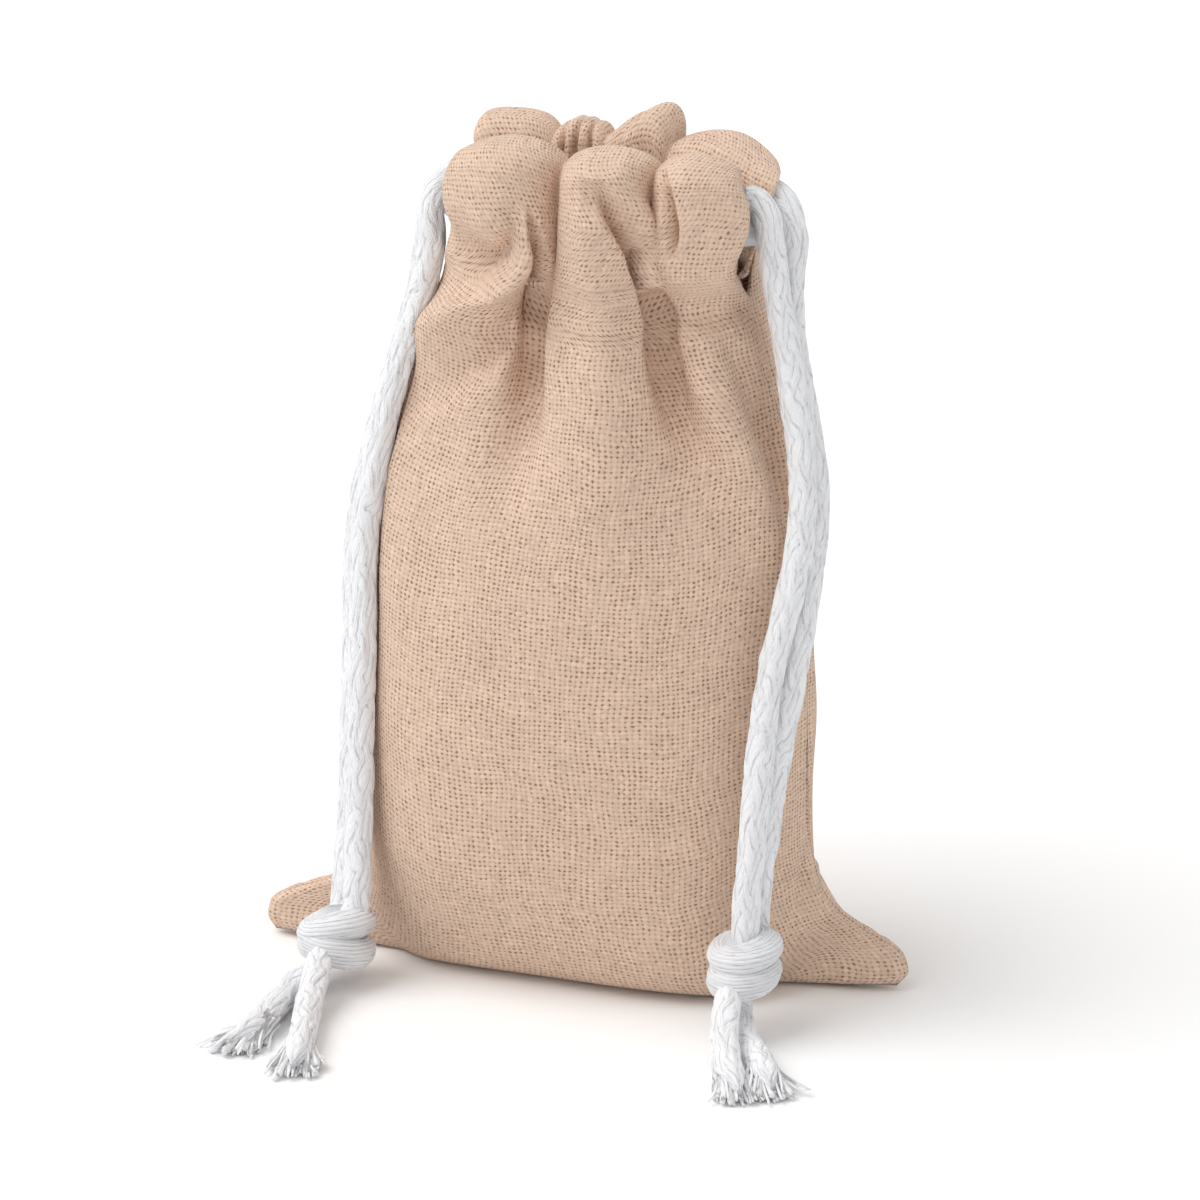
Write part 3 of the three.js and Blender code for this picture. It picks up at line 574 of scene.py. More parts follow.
def gather_height(gather, s):
    """How far a gather stands out at s: a soft fold below the hem, full at the cords, gone over the rim."""
    fold = FOLD_SHARE * smooth_step(gather["fade"], FOLD_ENDS, s) ** FOLD_STEEPNESS
    full = (fold + (1 - FOLD_SHARE) * smooth_step(*PUFF_GROWS, s)) * (1 - smooth_step(*PUFF_FADES, s))
    return np.where(s > INNER_HEM, fold * smooth_step(*EDGE_GATHERS, s), full)


def gather_shape(u, s):
    """The shape across a gather: half round in the hem, a soft wave below it."""
    wave = np.sin(math.pi * u)

    def blunt(x):
        """x without its sign, as the root of its square plus a softness, less that softness's root."""
        return np.sqrt(x**2 + CREASE_SOFTNESS) - math.sqrt(CREASE_SOFTNESS)

    puff = (blunt(wave) / blunt(1.0)) ** PUFF_ROUNDNESS
    full = smooth_step(*WAVE_TO_PUFF, s)
    return wave**WAVE_SHARPNESS * (1 - full) + puff * full


def unit(vectors):
    """The vectors, each divided by its own length."""
    return vectors / np.maximum(np.linalg.norm(vectors, axis=-1, keepdims=True), 1e-9)


def outward(points, sign):
    """Unit normals of a grid of points, rows up the cloth and columns across it, on its outer side."""
    along = np.gradient(points, axis=1)
    up = np.gradient(points, axis=0)
    return unit(np.cross(along, up) * -sign)


def waves(x, s, seed):
    """Shallow unevenness of hand-filled cloth: a sum of sine waves in all directions, about 1 high."""
    rng = np.random.default_rng(seed)
    count = UNEVENNESS["count"]
    angle = rng.uniform(0, math.pi, count)
    size = rng.uniform(UNEVENNESS["shortest"], UNEVENNESS["longest"], count)
    phase = rng.uniform(0, 2 * math.pi, count)
    total = np.zeros(np.broadcast(x, s).shape)
    for a, w, p in zip(angle, size, phase):
        total = total + np.sin(2 * math.pi * (x * math.cos(a) + s * math.sin(a)) / w + p)
    return total / math.sqrt(count)


def bump(off, wide):
    """A bell curve: 1 in its middle, and 1/e where it is as far off as it is wide."""
    return np.exp(-((off / wide) ** 2))


def fold_height(fold, x, s):
    """Height of one fold over the flat cloth: a round ridge along a smooth line, whose height and half width
    change from point to point. Past the line's ends it dies away as it does to its sides."""
    line = np.array(fold["line"], float)
    path, along = smooth_route(np.column_stack([line[:, :2], np.zeros(len(line))]), FOLD_STEP)
    reach = reach_along(line[:, :2])
    share = along * reach[-1] / along[-1]
    high, width = (np.interp(share, reach, line[:, k]) for k in (2, 3))
    ahead = unit(np.gradient(path, axis=0))
    x, s = np.broadcast_arrays(x, s)
    margin = FOLD_FADES_AT * width.max()
    near = (x > path[:, 0].min() - margin) & (x < path[:, 0].max() + margin)
    near &= (s > path[:, 1].min() - margin) & (s < path[:, 1].max() + margin)
    off_x = x[near][:, None] - path[:, 0]
    off_s = s[near][:, None] - path[:, 1]
    away = off_x**2 + off_s**2
    k = np.argmin(away, axis=1)
    each = np.arange(len(k))
    aside = ahead[k, 0] * off_s[each, k] - ahead[k, 1] * off_x[each, k]
    wide = width[k] * (1 + fold.get("skew", 0.0) * np.tanh(SKEW_STEEPNESS * aside / width[k]))
    height = np.zeros(x.shape)
    height[near] = high[k] * np.exp(-away[each, k] / wide**2)
    return height


def panel_surface(side, t, s):
    """The outside of a panel as a grid, with the flat cloth's own coordinates of each point.

    A level is shared out evenly by distance, so the yarns stay even. Gathers stand out from it, folds, dents
    and the swelling beside the seams move it along its normals, and pulls move whole places of the mouth.
    """
    panel = PANELS[side]
    rows = level_rows(panel, s)
    level = s[:, None]
    spread = np.broadcast_to(t[None, :], (len(s), len(t)))
    points = along_rows(rows, spread)
    along = along_rows(rows, spread + SMALL_STEP) - along_rows(rows, spread - SMALL_STEP)
    aside = np.stack([along[..., 1], -along[..., 0], np.zeros_like(along[..., 0])], axis=-1)
    aside = unit(aside * -panel["sign"])
    for gather in named_rows(GATHERS[side]):
        u = np.clip((t - gather["from"]) / (gather["to"] - gather["from"]), 0, 1)[None, :]
        u = u + gather["lean"] * u * (1 - u)
        shape = gather_shape(u, level)
        points = points + aside * (gather["out"] * gather_height(gather, level) * shape)[..., None]
        lift = gather["rise"] * shape * smooth_step(*RIM_RISES, level) * (1 - smooth_step(*RIM_SINKS, level))
        points[..., 2] += lift
    x = spread * FLAT_WIDTH / 2
    from_seam = FLAT_WIDTH / 2 * (1 - np.abs(spread))
    free = np.maximum(smooth_step(*FREE_OF_SEAM, from_seam), smooth_step(*HEM_PARTS, level))
    high = UNEVENNESS["high"] * waves(x, level, panel["seed"]) * smooth_step(*UNEVENNESS_GROWS, level)
    high = high * (1 - smooth_step(*UNEVENNESS_FADES, level))
    for fold in FOLDS[side]:
        high = high + fold_height(fold, x, level)
    high = high - STITCH_LINE["deep"] * bump(level - STITCHES, STITCH_LINE["wide"])
    turn = level * 2 * math.pi
    pucker = 1 + PUCKERS["deep"] * np.sin(turn / PUCKERS["each"]) * np.sin(turn / PUCKERS["group"] + 1)
    swell = SEAM_SWELL["high"] * bump(from_seam - SEAM_SWELL["off"], SEAM_SWELL["wide"]) * pucker
    high = high * free + swell * smooth_step(*SWELL_GROWS, level) * (1 - smooth_step(*SWELL_FADES, level))
    points = points + outward(points, panel["sign"]) * high[..., None]
    points = keep_to_side(panel, points, level)
    for pull in named_rows(PULLS[side]):
        weight = bump(x - pull["x"], pull["wide"]) * bump(level - pull["s"], pull["tall"])
        points = points + weight[..., None] * np.array([pull["right"], pull["back"], pull["up"]])
    in_corner = smooth_step(*EAR_LIFT["from"], np.abs(points[..., 0]))
    points[..., 2] += EAR_LIFT["up"] * in_corner * bump(level, EAR_LIFT["tall"])
    points[..., 2] = np.maximum(points[..., 2], 0)
    reach = reach_along(points)
    total = reach[:, -1:]
    even = (reach - total / 2) * (FLAT_WIDTH / total) ** YARN_SPREAD
    return points, np.stack([even, np.broadcast_to(level, x.shape)], axis=-1)


def keep_to_side(panel, points, s):
    """Holds points below the hem on their panel's side of the plane between the panels."""
    half = np.where(points[..., 0] < 0, SEAM["left"](s), SEAM["right"](s))
    limit = seam_plane(s, np.clip(points[..., 0] / half, -1, 1)) + panel["sign"] * SEAM_SLIT / 2
    freed = smooth_step(*HEM_PARTS, s) * (1 - smooth_step(*HEM_MEETS, s))
    limit = limit - panel["sign"] * HEM_FREEDOM * freed
    held = points.copy()
    nearer = np.minimum if panel["sign"] < 0 else np.maximum
    held[..., 1] = nearer(points[..., 1], limit)
    return held


# ---- meshes -------------------------------------------------------------------------------------
def grid_faces(rows, columns, around=False):
    """Quads between neighbouring points of a grid, closed round its columns if asked."""
    index = np.arange(rows * columns).reshape(rows, columns)
    if around:
        index = np.concatenate([index, index[:, :1]], axis=1)
    a, b, c, d = index[:-1, :-1], index[:-1, 1:], index[1:, 1:], index[1:, :-1]
    return np.stack([a, b, c, d], axis=-1).reshape(-1, 4)


def turned_out(points, faces):
    """The faces, all turned over if the closed shape's volume comes out below 0."""
    volume = 0.0
    for face in faces:
        a, b, c = (points[face[:, k]] for k in (0, 1, 2))
        volume += np.einsum("ij,ij->", a, np.cross(b, c))
        if face.shape[1] == 4:
            d = points[face[:, 3]]
            volume += np.einsum("ij,ij->", a, np.cross(c, d))
    return faces if volume > 0 else [face[:, ::-1] for face in faces]


def shell(outer, inner):
    """A sheet of cloth as a closed shell: its two grids of points, joined along their edges by strips."""
    rows, columns = outer.shape[:2]
    count = rows * columns
    quads = grid_faces(rows, columns)
    index = np.arange(count).reshape(rows, columns)
    edge = np.concatenate([index[0, :-1], index[:-1, -1], index[-1, :0:-1], index[:0:-1, 0]])
    after = np.roll(edge, -1)
    strip = np.stack([after, edge, edge + count, after + count], axis=-1)
    points = np.concatenate([outer.reshape(-1, 3), inner.reshape(-1, 3)])
    faces = turned_out(points, [quads, quads[:, ::-1] + count, strip])
    flat = np.concatenate([np.zeros(2 * len(quads), bool), np.ones(len(strip), bool)])
    return points, faces, flat


def join(parts):
    """Several (points, faces, values) as one."""
    points, faces, values, first = [], [], [], 0
    for part_points, part_faces, part_values in parts:
        points.append(part_points)
        values.append(part_values)
        faces += [face + first for face in part_faces]
        first += len(part_points)
    return np.concatenate(points), faces, np.concatenate(values)


def add_mesh(name, points, faces, material, attribute, values, flat=None):
    """An object from points in millimetres, a list of face arrays, and one vector for each point."""
    mesh = bpy.data.meshes.new(name)
    mesh.vertices.add(len(points))
    mesh.vertices.foreach_set("co", (points * MM).astype(np.float32).ravel())
    sizes = np.concatenate([np.full(len(face), face.shape[1]) for face in faces])
    corners = np.concatenate([face.ravel() for face in faces]).astype(np.int32)
    mesh.loops.add(len(corners))
    mesh.loops.foreach_set("vertex_index", corners)
    mesh.polygons.add(len(sizes))
    mesh.polygons.foreach_set("loop_start", (np.cumsum(sizes) - sizes).astype(np.int32))
    smooth = np.ones(len(sizes), bool) if flat is None else ~flat
    mesh.polygons.foreach_set("use_smooth", smooth)
    mesh.update(calc_edges=True)
    if mesh.validate():
        raise RuntimeError(f"{name}: the mesh has faults")
    layer = mesh.attributes.new(attribute, "FLOAT_VECTOR", "POINT")
    layer.data.foreach_set("vector", values.astype(np.float32).ravel())
    mesh.materials.append(material)
    piece = bpy.data.objects.new(name, mesh)
    bpy.context.scene.collection.objects.link(piece)
    return piece


def place(piece, nodes):
    """Attaches a finished piece to the body it rides on, and hides the nodes that it stands for."""
    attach(piece, BODY)
    if nodes:
        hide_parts(*nodes)
    return piece


# ---- cords --------------------------------------------------------------------------------------
def smooth_route(points, spacing):
    """Evenly spaced points along the centripetal Catmull-Rom curve through a cord's points."""
    p = np.array(points, float)
    p = np.concatenate([[2 * p[0] - p[1]], p, [2 * p[-1] - p[-2]]])
    step = np.sqrt(np.linalg.norm(np.diff(p, axis=0), axis=1))[:, None]
    p0, p1, p2, p3 = p[:-3], p[1:-2], p[2:-1], p[3:]
    d0, d1, d2 = step[:-2], step[1:-1], step[2:]
    leave = ((p1 - p0) / d0 - (p2 - p0) / (d0 + d1) + (p2 - p1) / d1) * d1
    arrive = ((p2 - p1) / d1 - (p3 - p1) / (d1 + d2) + (p3 - p2) / d2) * d1
    u = np.linspace(0, 1, CURVE_STEPS, endpoint=False)[None, :, None]
    p1, p2, leave, arrive = (a[:, None, :] for a in (p1, p2, leave, arrive))
    curve = (2 * u**3 - 3 * u**2 + 1) * p1 + (u**3 - 2 * u**2 + u) * leave
    curve = curve + (3 * u**2 - 2 * u**3) * p2 + (u**3 - u**2) * arrive
    curve = np.concatenate([curve.reshape(-1, 3), p[-2:-1]])
    reach = reach_along(curve)
    along = np.linspace(0, reach[-1], max(int(round(reach[-1] / spacing)), 2) + 1)
    return np.stack([np.interp(along, reach, curve[:, k]) for k in range(3)], axis=-1), along


def sides_of(path, reference):
    """Two unit directions across a path at each point, the first as near the reference as it can be."""
    ahead = unit(np.gradient(path, axis=0))
    first = unit(reference - ahead * (ahead @ reference)[:, None])
    return first, np.cross(ahead, first)


def wander(table, around, along, phases):
    """How far yarns stray from their even places: a sum of sine waves round the cord and along it."""
    total = 0
    for row, phase in zip(table, phases):
        high, turns, length = row
        total = total + high * np.sin(2 * math.pi * turns * around + along / length + phase)
    return total


def braid(around, along, carriers, lay, seed):
    """A loose two-over-two braid at shares round a cord and millimetres along it: its height, about 0 to 1,
    and the share across the yarn that shows.

    Yarns wind both ways; u and v count them across. Each is round across its width, rises over two of the
    others and dips under the next two, by its own amount at each crossing, and the higher one shows.
    """
    rng = np.random.default_rng(seed)
    phases = rng.uniform(0, 2 * math.pi, (2, len(BRAID_WANDER)))
    uneven = rng.uniform(-1, 1, (2, BRAID_REPEAT, BRAID_REPEAT))

    def yarn(u, v, way, table):
        """Half an ellipse across each yarn, plus a sine over its crossings, plus each one's unevenness."""
        across = u - np.floor(u)
        crossing = (v + way * np.floor(u)) / 2
        row, column = (np.floor(count).astype(int) % BRAID_REPEAT for count in (u, crossing))
        high = YARN_SHARES["round"] * np.sqrt(1 - (2 * across - 1) ** 2)
        high = high + YARN_SHARES["rise"] * way * np.sin(math.pi * crossing)
        return high + YARN_SHARES["uneven"] * table[row, column], across

    u = carriers * around + along / lay + wander(BRAID_WANDER, around, along, phases[0])
    v = carriers * around - along / lay + wander(BRAID_WANDER, around, along, phases[1])
    high_u, across_u = yarn(u, v, 1, uneven[0])
    high_v, across_v = yarn(v, u, -1, uneven[1])
    return np.maximum(high_u, high_v), np.where(high_u > high_v, across_u, across_v)


def tube(path, along, reference, radius, sides, surface, floor=None):
    """A capped tube along a path: rings of points whose distance from the path is the radius there plus a
    relief over shares round the cord and millimetres along it. Gives points, faces and values."""
    first, second = sides_of(path, np.array(reference, float))
    around = (np.arange(sides) / sides)[None, :]
    relief, ply = surface(around, along[:, None])
    reach = np.reshape(radius, (-1, 1)) + relief
    angle = 2 * math.pi * around
    ring = np.cos(angle)[..., None] * first[:, None] + np.sin(angle)[..., None] * second[:, None]
    points = path[:, None] + reach[..., None] * ring
    if floor is not None:
        points[..., 2] = np.maximum(points[..., 2], floor)
    rows = len(path)
    faces = grid_faces(rows, sides, around=True)
    values = np.stack(np.broadcast_arrays(around, along[:, None], ply), axis=-1)
    count = rows * sides
    last = np.arange(sides)
    start_fan = np.stack([np.roll(last, -1), last, np.full(sides, count)], axis=-1)
    end_fan = np.stack([last, np.roll(last, -1), np.full(sides, count + 1)], axis=-1)
    end_fan[:, :2] += (rows - 1) * sides
    points = np.concatenate([points.reshape(-1, 3), path[[0, -1]]])
    values = np.concatenate([values.reshape(-1, 3), [[0, along[k], MIDDLE_OF_YARN] for k in (0, -1)]])
    return points, turned_out(points, [faces, start_fan, end_fan]), values


def braided(settings, seed):
    """The relief of the drawcord's braid, as a tube asks for it."""
    deep = settings.relief / MM

    def surface(around, along):
        """The braid's height from its mean, times the relief, plus slow sine swells along the cord."""
        high, across = braid(around, along, settings.carriers, settings.lay / MM, seed)
        swells = [tall * np.sin(along / length + (k + 1) * seed)
                  for k, (tall, length) in enumerate(CORD_SWELLS)]
        return deep * (high - BRAID_MEAN) + sum(swells), across

    return surface


def bundled(yarns, seed):
    """The relief of cord pulled tight in a knot: its yarns lie almost lengthwise in loose bundles. Each is
    round across its width and tucked in here and there, and the bundles swell three times round the cord."""
    phase = np.random.default_rng(seed).uniform(0, 2 * math.pi, 4)

    def surface(around, along):
        """Half an ellipse across each yarn, lowered by a sine along it, plus a sine round the cord."""
        count = yarns * around + along / TIGHT["lay"] + wander(KNOT_WANDER, around, along, phase)
        across = count - np.floor(count)
        rounded = np.sqrt(1 - (2 * across - 1) ** 2)
        tuck = 0.5 + 0.5 * np.sin(math.pi * np.floor(count) * 1.3 + along / 2.2 + phase[2])
        bundle = np.sin(6 * math.pi * around + along / 7.0 + phase[3]) * TIGHT["bundle"]
        return TIGHT["relief"] * (rounded * (0.6 + 0.4 * tuck) - TIGHT["mean"]) + bundle, across

    return surface


def channel_stations(change):
    """Places across the hem where a hidden run has a point, closest where the cords change places."""
    places = ((CHANNEL_END["left"], change["from"], change["before"]),
              (change["from"], change["to"], CHANGE_STEPS),
              (change["to"], CHANNEL_END["right"], change["after"]))
    spans = [np.linspace(start, end, count, endpoint=False) for start, end, count in places]
    return np.concatenate([*spans, [CHANNEL_END["right"]]])


def channel_run(side):
    """The hidden run of a cord: through one hem, round the far side and back through the other hem."""
    outwards = 1 if side == "left" else -1

    def run(panel):
        """One hem: a parabola in depth, and a half sine aside and a half cosine up where they change."""
        change = CHANGE_PLACES[panel]
        x = channel_stations(change)
        across = x / np.where(x < 0, CHANNEL_END["left"], CHANNEL_END["right"])
        half = math.pi * np.clip((x - change["from"]) / (change["to"] - change["from"]), 0, 1)
        rise = CHANNEL_ROUTE["middle_y"] - CHANNEL_ROUTE["end_y"]
        arch = CHANNEL_ROUTE["end_y"] + rise * (1 - across**2)
        y = (arch + change[side] * np.sin(half)) * (-1 if panel == "front" else 1)
        z = CHANNEL_ROUTE["middle_z"] + outwards * CHANNEL_ROUTE["swap"] * np.cos(half)
        points = np.stack([x, y, z], axis=-1)
        return points if side == "left" else points[::-1]

    far = CHANNEL_END["right" if side == "left" else "left"]
    turn = [[far + outwards * TURN_REACH, 0, CHANNEL_ROUTE["turn_z"]]]
    return np.concatenate([run("front"), turn, run("back")[::-1]])


def clear_of_cords(points, sign, reach, thickness):
    """Presses a panel away from the cords that lie on it and from those inside its hem.

    A point nearer to a cord's path than the reach, plus the cloth's thickness where the cord is on the inner
    side of the cloth, moves straight away from the path to that distance.
    """
    cleared = points.copy()
    normals = outward(points, sign)
    for route in (*FREE_RUNS.values(), channel_run("left"), channel_run("right")) * CLEARING_ROUNDS:
        path, _ = smooth_route(route, CLEARING_STEP)
        margin = reach + thickness
        near = (cleared > path.min(axis=0) - margin) & (cleared < path.max(axis=0) + margin)
        near = near.all(axis=-1)
        found = cleared[near]
        squared = (found**2).sum(axis=1)[:, None] + (path**2).sum(axis=1) - 2 * found @ path.T
        away = found - path[np.argmin(squared, axis=1)]
        distance = np.linalg.norm(away, axis=1)
        inside = (away * normals[near]).sum(axis=1) > 0
        short = np.maximum(reach + thickness * inside - distance, 0)
        cleared[near] = found + unit(away) * short[:, None]
    return cleared


# ---- materials ----------------------------------------------------------------------------------
class Wiring:
    """Shorthand for wiring a material's nodes: each call adds a node and gives its output."""

    def __init__(self, name):
        self.material = bpy.data.materials.new(name)
        self.material.use_nodes = True
        self.tree = self.material.node_tree
        self.shader = self.tree.nodes["Principled BSDF"]

    def put(self, node, inputs):
        """Links each of a node's inputs to the output given for it, or sets it to the value given."""
        for key, value in inputs.items():
            if isinstance(value, bpy.types.NodeSocket):
                self.tree.links.new(value, node.inputs[key])
            else:
                node.inputs[key].default_value = value

    def add(self, kind, inputs=(), **settings):
        """A new node of a kind, with its settings and its inputs."""
        node = self.tree.nodes.new(kind)
        for name, value in settings.items():
            setattr(node, name, value)
        self.put(node, dict(inputs))
        return node

    def finish(self, sockets):
        """The material, with its shader's own sockets set or linked."""
        self.put(self.shader, sockets)
        return self.material

    def math(self, operation, *values):
        """The result of one math node."""
        return self.add("ShaderNodeMath", enumerate(values), operation=operation).outputs[0]

    def times(self, first, *others):
        """The product of all."""
        for other in others:
            first = self.math("MULTIPLY", first, other)
        return first

    def plus(self, first, *others):
        """The sum of all."""
        for other in others:
            first = self.math("ADD", first, other)
        return first

    def minus(self, first, other):
        """The first less the other."""
        return self.math("SUBTRACT", first, other)

    def noise(self, vector, scale, detail=2.0, roughness=0.5):
        """Smooth noise at a vector, mostly from 0.3 to 0.7."""
        inputs = {"Vector": vector, "Scale": scale, "Detail": detail, "Roughness": roughness}
        return self.add("ShaderNodeTexNoise", inputs).outputs["Fac"]

    def dice(self, vector):
        """A number of its own from 0 to 1 for each different vector."""
        return self.add("ShaderNodeTexWhiteNoise", {0: vector}, noise_dimensions="3D").outputs["Value"]

    def attribute(self, name):
        """The piece's attribute of that name, and its three parts."""
        whole = self.add("ShaderNodeAttribute", attribute_name=name).outputs["Vector"]
        return whole, self.add("ShaderNodeSeparateXYZ", {0: whole}).outputs

    def vector(self, x, y, z=0.0):
        """Three numbers as one vector."""
        return self.add("ShaderNodeCombineXYZ", enumerate((x, y, z))).outputs[0]

    def ramp(self, value, low, high, to_low=0.0, to_high=1.0):
        """The value from low to high, smoothly turned into one from to_low to to_high."""
        inputs = {"Value": value, "From Min": low, "From Max": high, "To Min": to_low, "To Max": to_high}
        return self.add("ShaderNodeMapRange", inputs, interpolation_type="SMOOTHSTEP").outputs[0]

    def mix(self, factor, first, second):
        """The first colour, turned into the second by a factor."""
        inputs = {0: factor, 6: (*first, 1) if isinstance(first, tuple) else first,
                  7: (*second, 1) if isinstance(second, tuple) else second}
        return self.add("ShaderNodeMix", inputs, data_type="RGBA").outputs[2]

    def scaled(self, colour, factor):
        """A colour times a factor."""
        return self.add("ShaderNodeVectorMath", {0: colour, 3: factor}, operation="SCALE").outputs[0]

    def relief(self, height, distance):
        """The surface's direction, turned by a height that stands out as far as the distance."""
        inputs = {"Strength": 0.8, "Distance": distance, "Height": height}
        return self.add("ShaderNodeBump", inputs).outputs[0]


MATTE_COTTON = {"Roughness": 0.95, "Specular IOR Level": 0.15}
WEAVE_DRIFT = 5.0  # yarns that the weave strays by slowly, and quickly
WEAVE_JITTER = 0.6
YARN_FLATNESS = 0.6
CROSSING_SHARE = 0.35  # of a yarn's height that comes from passing over or under
FINE_PLIES = 3  # of a cord's yarn
CORD_GRAIN = 2.2  # how fine a cord's fibres are round it, and along it
CORD_GRAIN_ALONG = 0.35


def cloth_material(settings):
    """Open plain weave: yarns that pass over and under each other one by one, with a small soft hole at some
    of the corners between them. x and y count the yarns, and a corner has whole numbers."""
    w = Wiring("undyed_open_weave")
    place_on_cloth, (x_mm, s_mm, _) = w.attribute("weave")

    def stray(vector, scale, detail, most):
        """Noise less a half, times the most."""
        return w.times(w.minus(w.noise(vector, scale, detail), 0.5), most)

    def yarn_count(reach, spacing, slow_place, slow_scale, quick_place):
        """Millimetres over the spacing, plus a slow and a quick stray."""
        slow = stray(slow_place, slow_scale, 2.0, WEAVE_DRIFT)
        quick = stray(quick_place, 0.8, 1.0, WEAVE_JITTER)
        return w.plus(w.math("DIVIDE", reach, spacing / MM), slow, quick)

    def yarn_height(across, over):
        """Round across the yarn, and higher where it passes over the other one."""
        rounded = w.math("POWER", w.math("ABSOLUTE", across), YARN_FLATNESS)
        return w.math("MULTIPLY_ADD", over, CROSSING_SHARE, w.times(rounded, 1 - CROSSING_SHARE))

    x = yarn_count(x_mm, settings.yarn_across, place_on_cloth, 0.045, place_on_cloth)
    y = yarn_count(s_mm, settings.yarn_along, w.vector(s_mm, x_mm, 31.0), 0.05, w.vector(s_mm, x_mm, 12.0))
    sin_x, sin_y = (w.math("SINE", w.times(count, math.pi)) for count in (x, y))
    high_x = yarn_height(sin_x, w.times(w.math("SIGN", sin_x), sin_y))
    high_y = yarn_height(sin_y, w.times(w.math("SIGN", sin_y), sin_x, -1.0))
    high = w.math("MAXIMUM", high_x, high_y)
    shows_x = w.math("GREATER_THAN", high_x, high_y)

    # the holes: each has its own size and depth, in open and close patches, and the stitched line has none;
    # their dark colour is painted shade
    corner_x, corner_y = w.math("ROUND", x), w.math("ROUND", y)
    own_size = w.ramp(w.dice(w.vector(corner_x, corner_y, 3.0)), 0.0, 1.0, 0.20, 0.33)
    patches = w.noise(place_on_cloth, 0.16, 3.0)
    doubled = w.ramp(s_mm, STITCHES - 1.0, STITCHES + 1.0)
    open_here = w.math("MULTIPLY_ADD", patches, 1.5, w.math("MULTIPLY_ADD", doubled, -0.22, -0.62))
    own_depth = w.math("MULTIPLY_ADD", w.dice(w.vector(corner_x, corner_y, 17.0)), 1.15, open_here)
    off_x, off_y = w.minus(x, corner_x), w.minus(y, corner_y)
    away = w.math("SQRT", w.plus(w.times(off_x, off_x), w.times(off_y, off_y)))
    hole = w.minus(1.0, w.ramp(w.math("DIVIDE", away, own_size), 0.2, 1.3))
    at_stitches = w.ramp(w.math("ABSOLUTE", w.minus(s_mm, STITCHES)), 0.3, 0.8)
    hole = w.times(hole, w.ramp(own_depth, 0.1, 1.1), at_stitches)

    # the colour: uneven from yarn to yarn and along each, with painted shade low in the weave, flecked with
    # fibres
    slub_x = w.noise(w.vector(w.math("FLOOR", x), w.times(y, 0.12), 4.0), 1.0, 1.0)
    slub_y = w.noise(w.vector(w.times(x, 0.12), w.math("FLOOR", y), 9.0), 1.0, 1.0)
    slub = w.plus(w.times(slub_x, shows_x), w.times(slub_y, w.minus(1.0, shows_x)))
    fibres = w.noise(w.vector(w.times(x_mm, 6.0), w.times(s_mm, 6.0)), 1.0, 3.0, 0.65)
    # painted shade: the yarns' colour is darker where they lie low in the weave
    tone, painted_shade = w.ramp(slub, 0.3, 0.7, 0.89, 1.07), w.ramp(high, 0.15, 0.85, 0.80, 1.06)
    yarn = w.scaled(tuple(settings.colour), w.times(tone, painted_shade, w.ramp(fibres, 0.3, 0.7, 0.93, 1.06)))
    height = w.plus(w.minus(high, w.times(hole, 0.5)), w.times(fibres, 0.3))
    return w.finish({
        **MATTE_COTTON, "Sheen Weight": 0.12, "Sheen Roughness": 0.5,
        # painted shade in the weave's holes
        "Base Color": w.mix(hole, yarn, tuple(settings.hole_shade_colour)),
        "Normal": w.relief(height, settings.yarn_depth),
    })


def cord_material(settings):
    """White cotton cord: each yarn is three thin plies, and loose fibres lie along them, with painted shade
    at the yarns' edges.
    """
    w = Wiring("white_cotton_cord")
    _, (around, along, across) = w.attribute("yarn")
    plies = w.math("ABSOLUTE", w.math("SINE", w.times(across, FINE_PLIES * math.pi)))
    turn = w.times(around, 2 * math.pi)
    round_x, round_y = (w.times(w.math(wave, turn), CORD_GRAIN) for wave in ("COSINE", "SINE"))
    fibres = w.noise(w.vector(round_x, round_y, w.times(along, CORD_GRAIN_ALONG)), 3.2, 3.0, 0.6)
    # painted shade: darker towards each yarn's edges, in the crevices between the yarns
    painted_shade = w.ramp(w.math("SINE", w.times(across, math.pi)), 0.0, 0.5, 0.93, 1.0)
    tone = w.ramp(fibres, 0.3, 0.7, 0.96, 1.03)
    return w.finish({
        **MATTE_COTTON, "Sheen Weight": 0.1,
        "Base Color": w.scaled(tuple(settings.colour), w.times(painted_shade, tone)),
        "Normal": w.relief(w.plus(w.times(plies, 0.5), fibres), 0.00016),
    })


def loose_material(settings):
    """Fluffed ends of cotton yarns, which let light through."""
    return Wiring("loose_cotton").finish({
        "Base Color": (*settings.colour, 1), "Roughness": 1.0, "Specular IOR Level": 0.1,
        "Subsurface Weight": 0.7, "Subsurface Radius": (1, 1, 1), "Subsurface Scale": 0.001,
    })


MATERIALS = {
    "undyed_open_weave": (cloth_material, "bag_cloth"),
    "white_cotton_cord": (cord_material, "bag_cord"),
    "loose_cotton": (loose_material, "bag_cord"),
}


def add_piece(name, made, material, nodes, attribute="yarn"):
    """A finished piece from its points, faces and values. Its material is made when first asked for."""
    make, settings = MATERIALS[material]
    finish = bpy.data.materials.get(material) or make(getattr(bpy.context.scene, settings))
    points, faces, values, *flat = made
    return place(add_mesh(name, points, faces, finish, attribute, values, *flat), nodes)


# ---- operators ----------------------------------------------------------------------------------
KEY_SPREAD = math.radians(48)
KEY_DIRECTION = Vector((0.62, 0.25, -1.0))


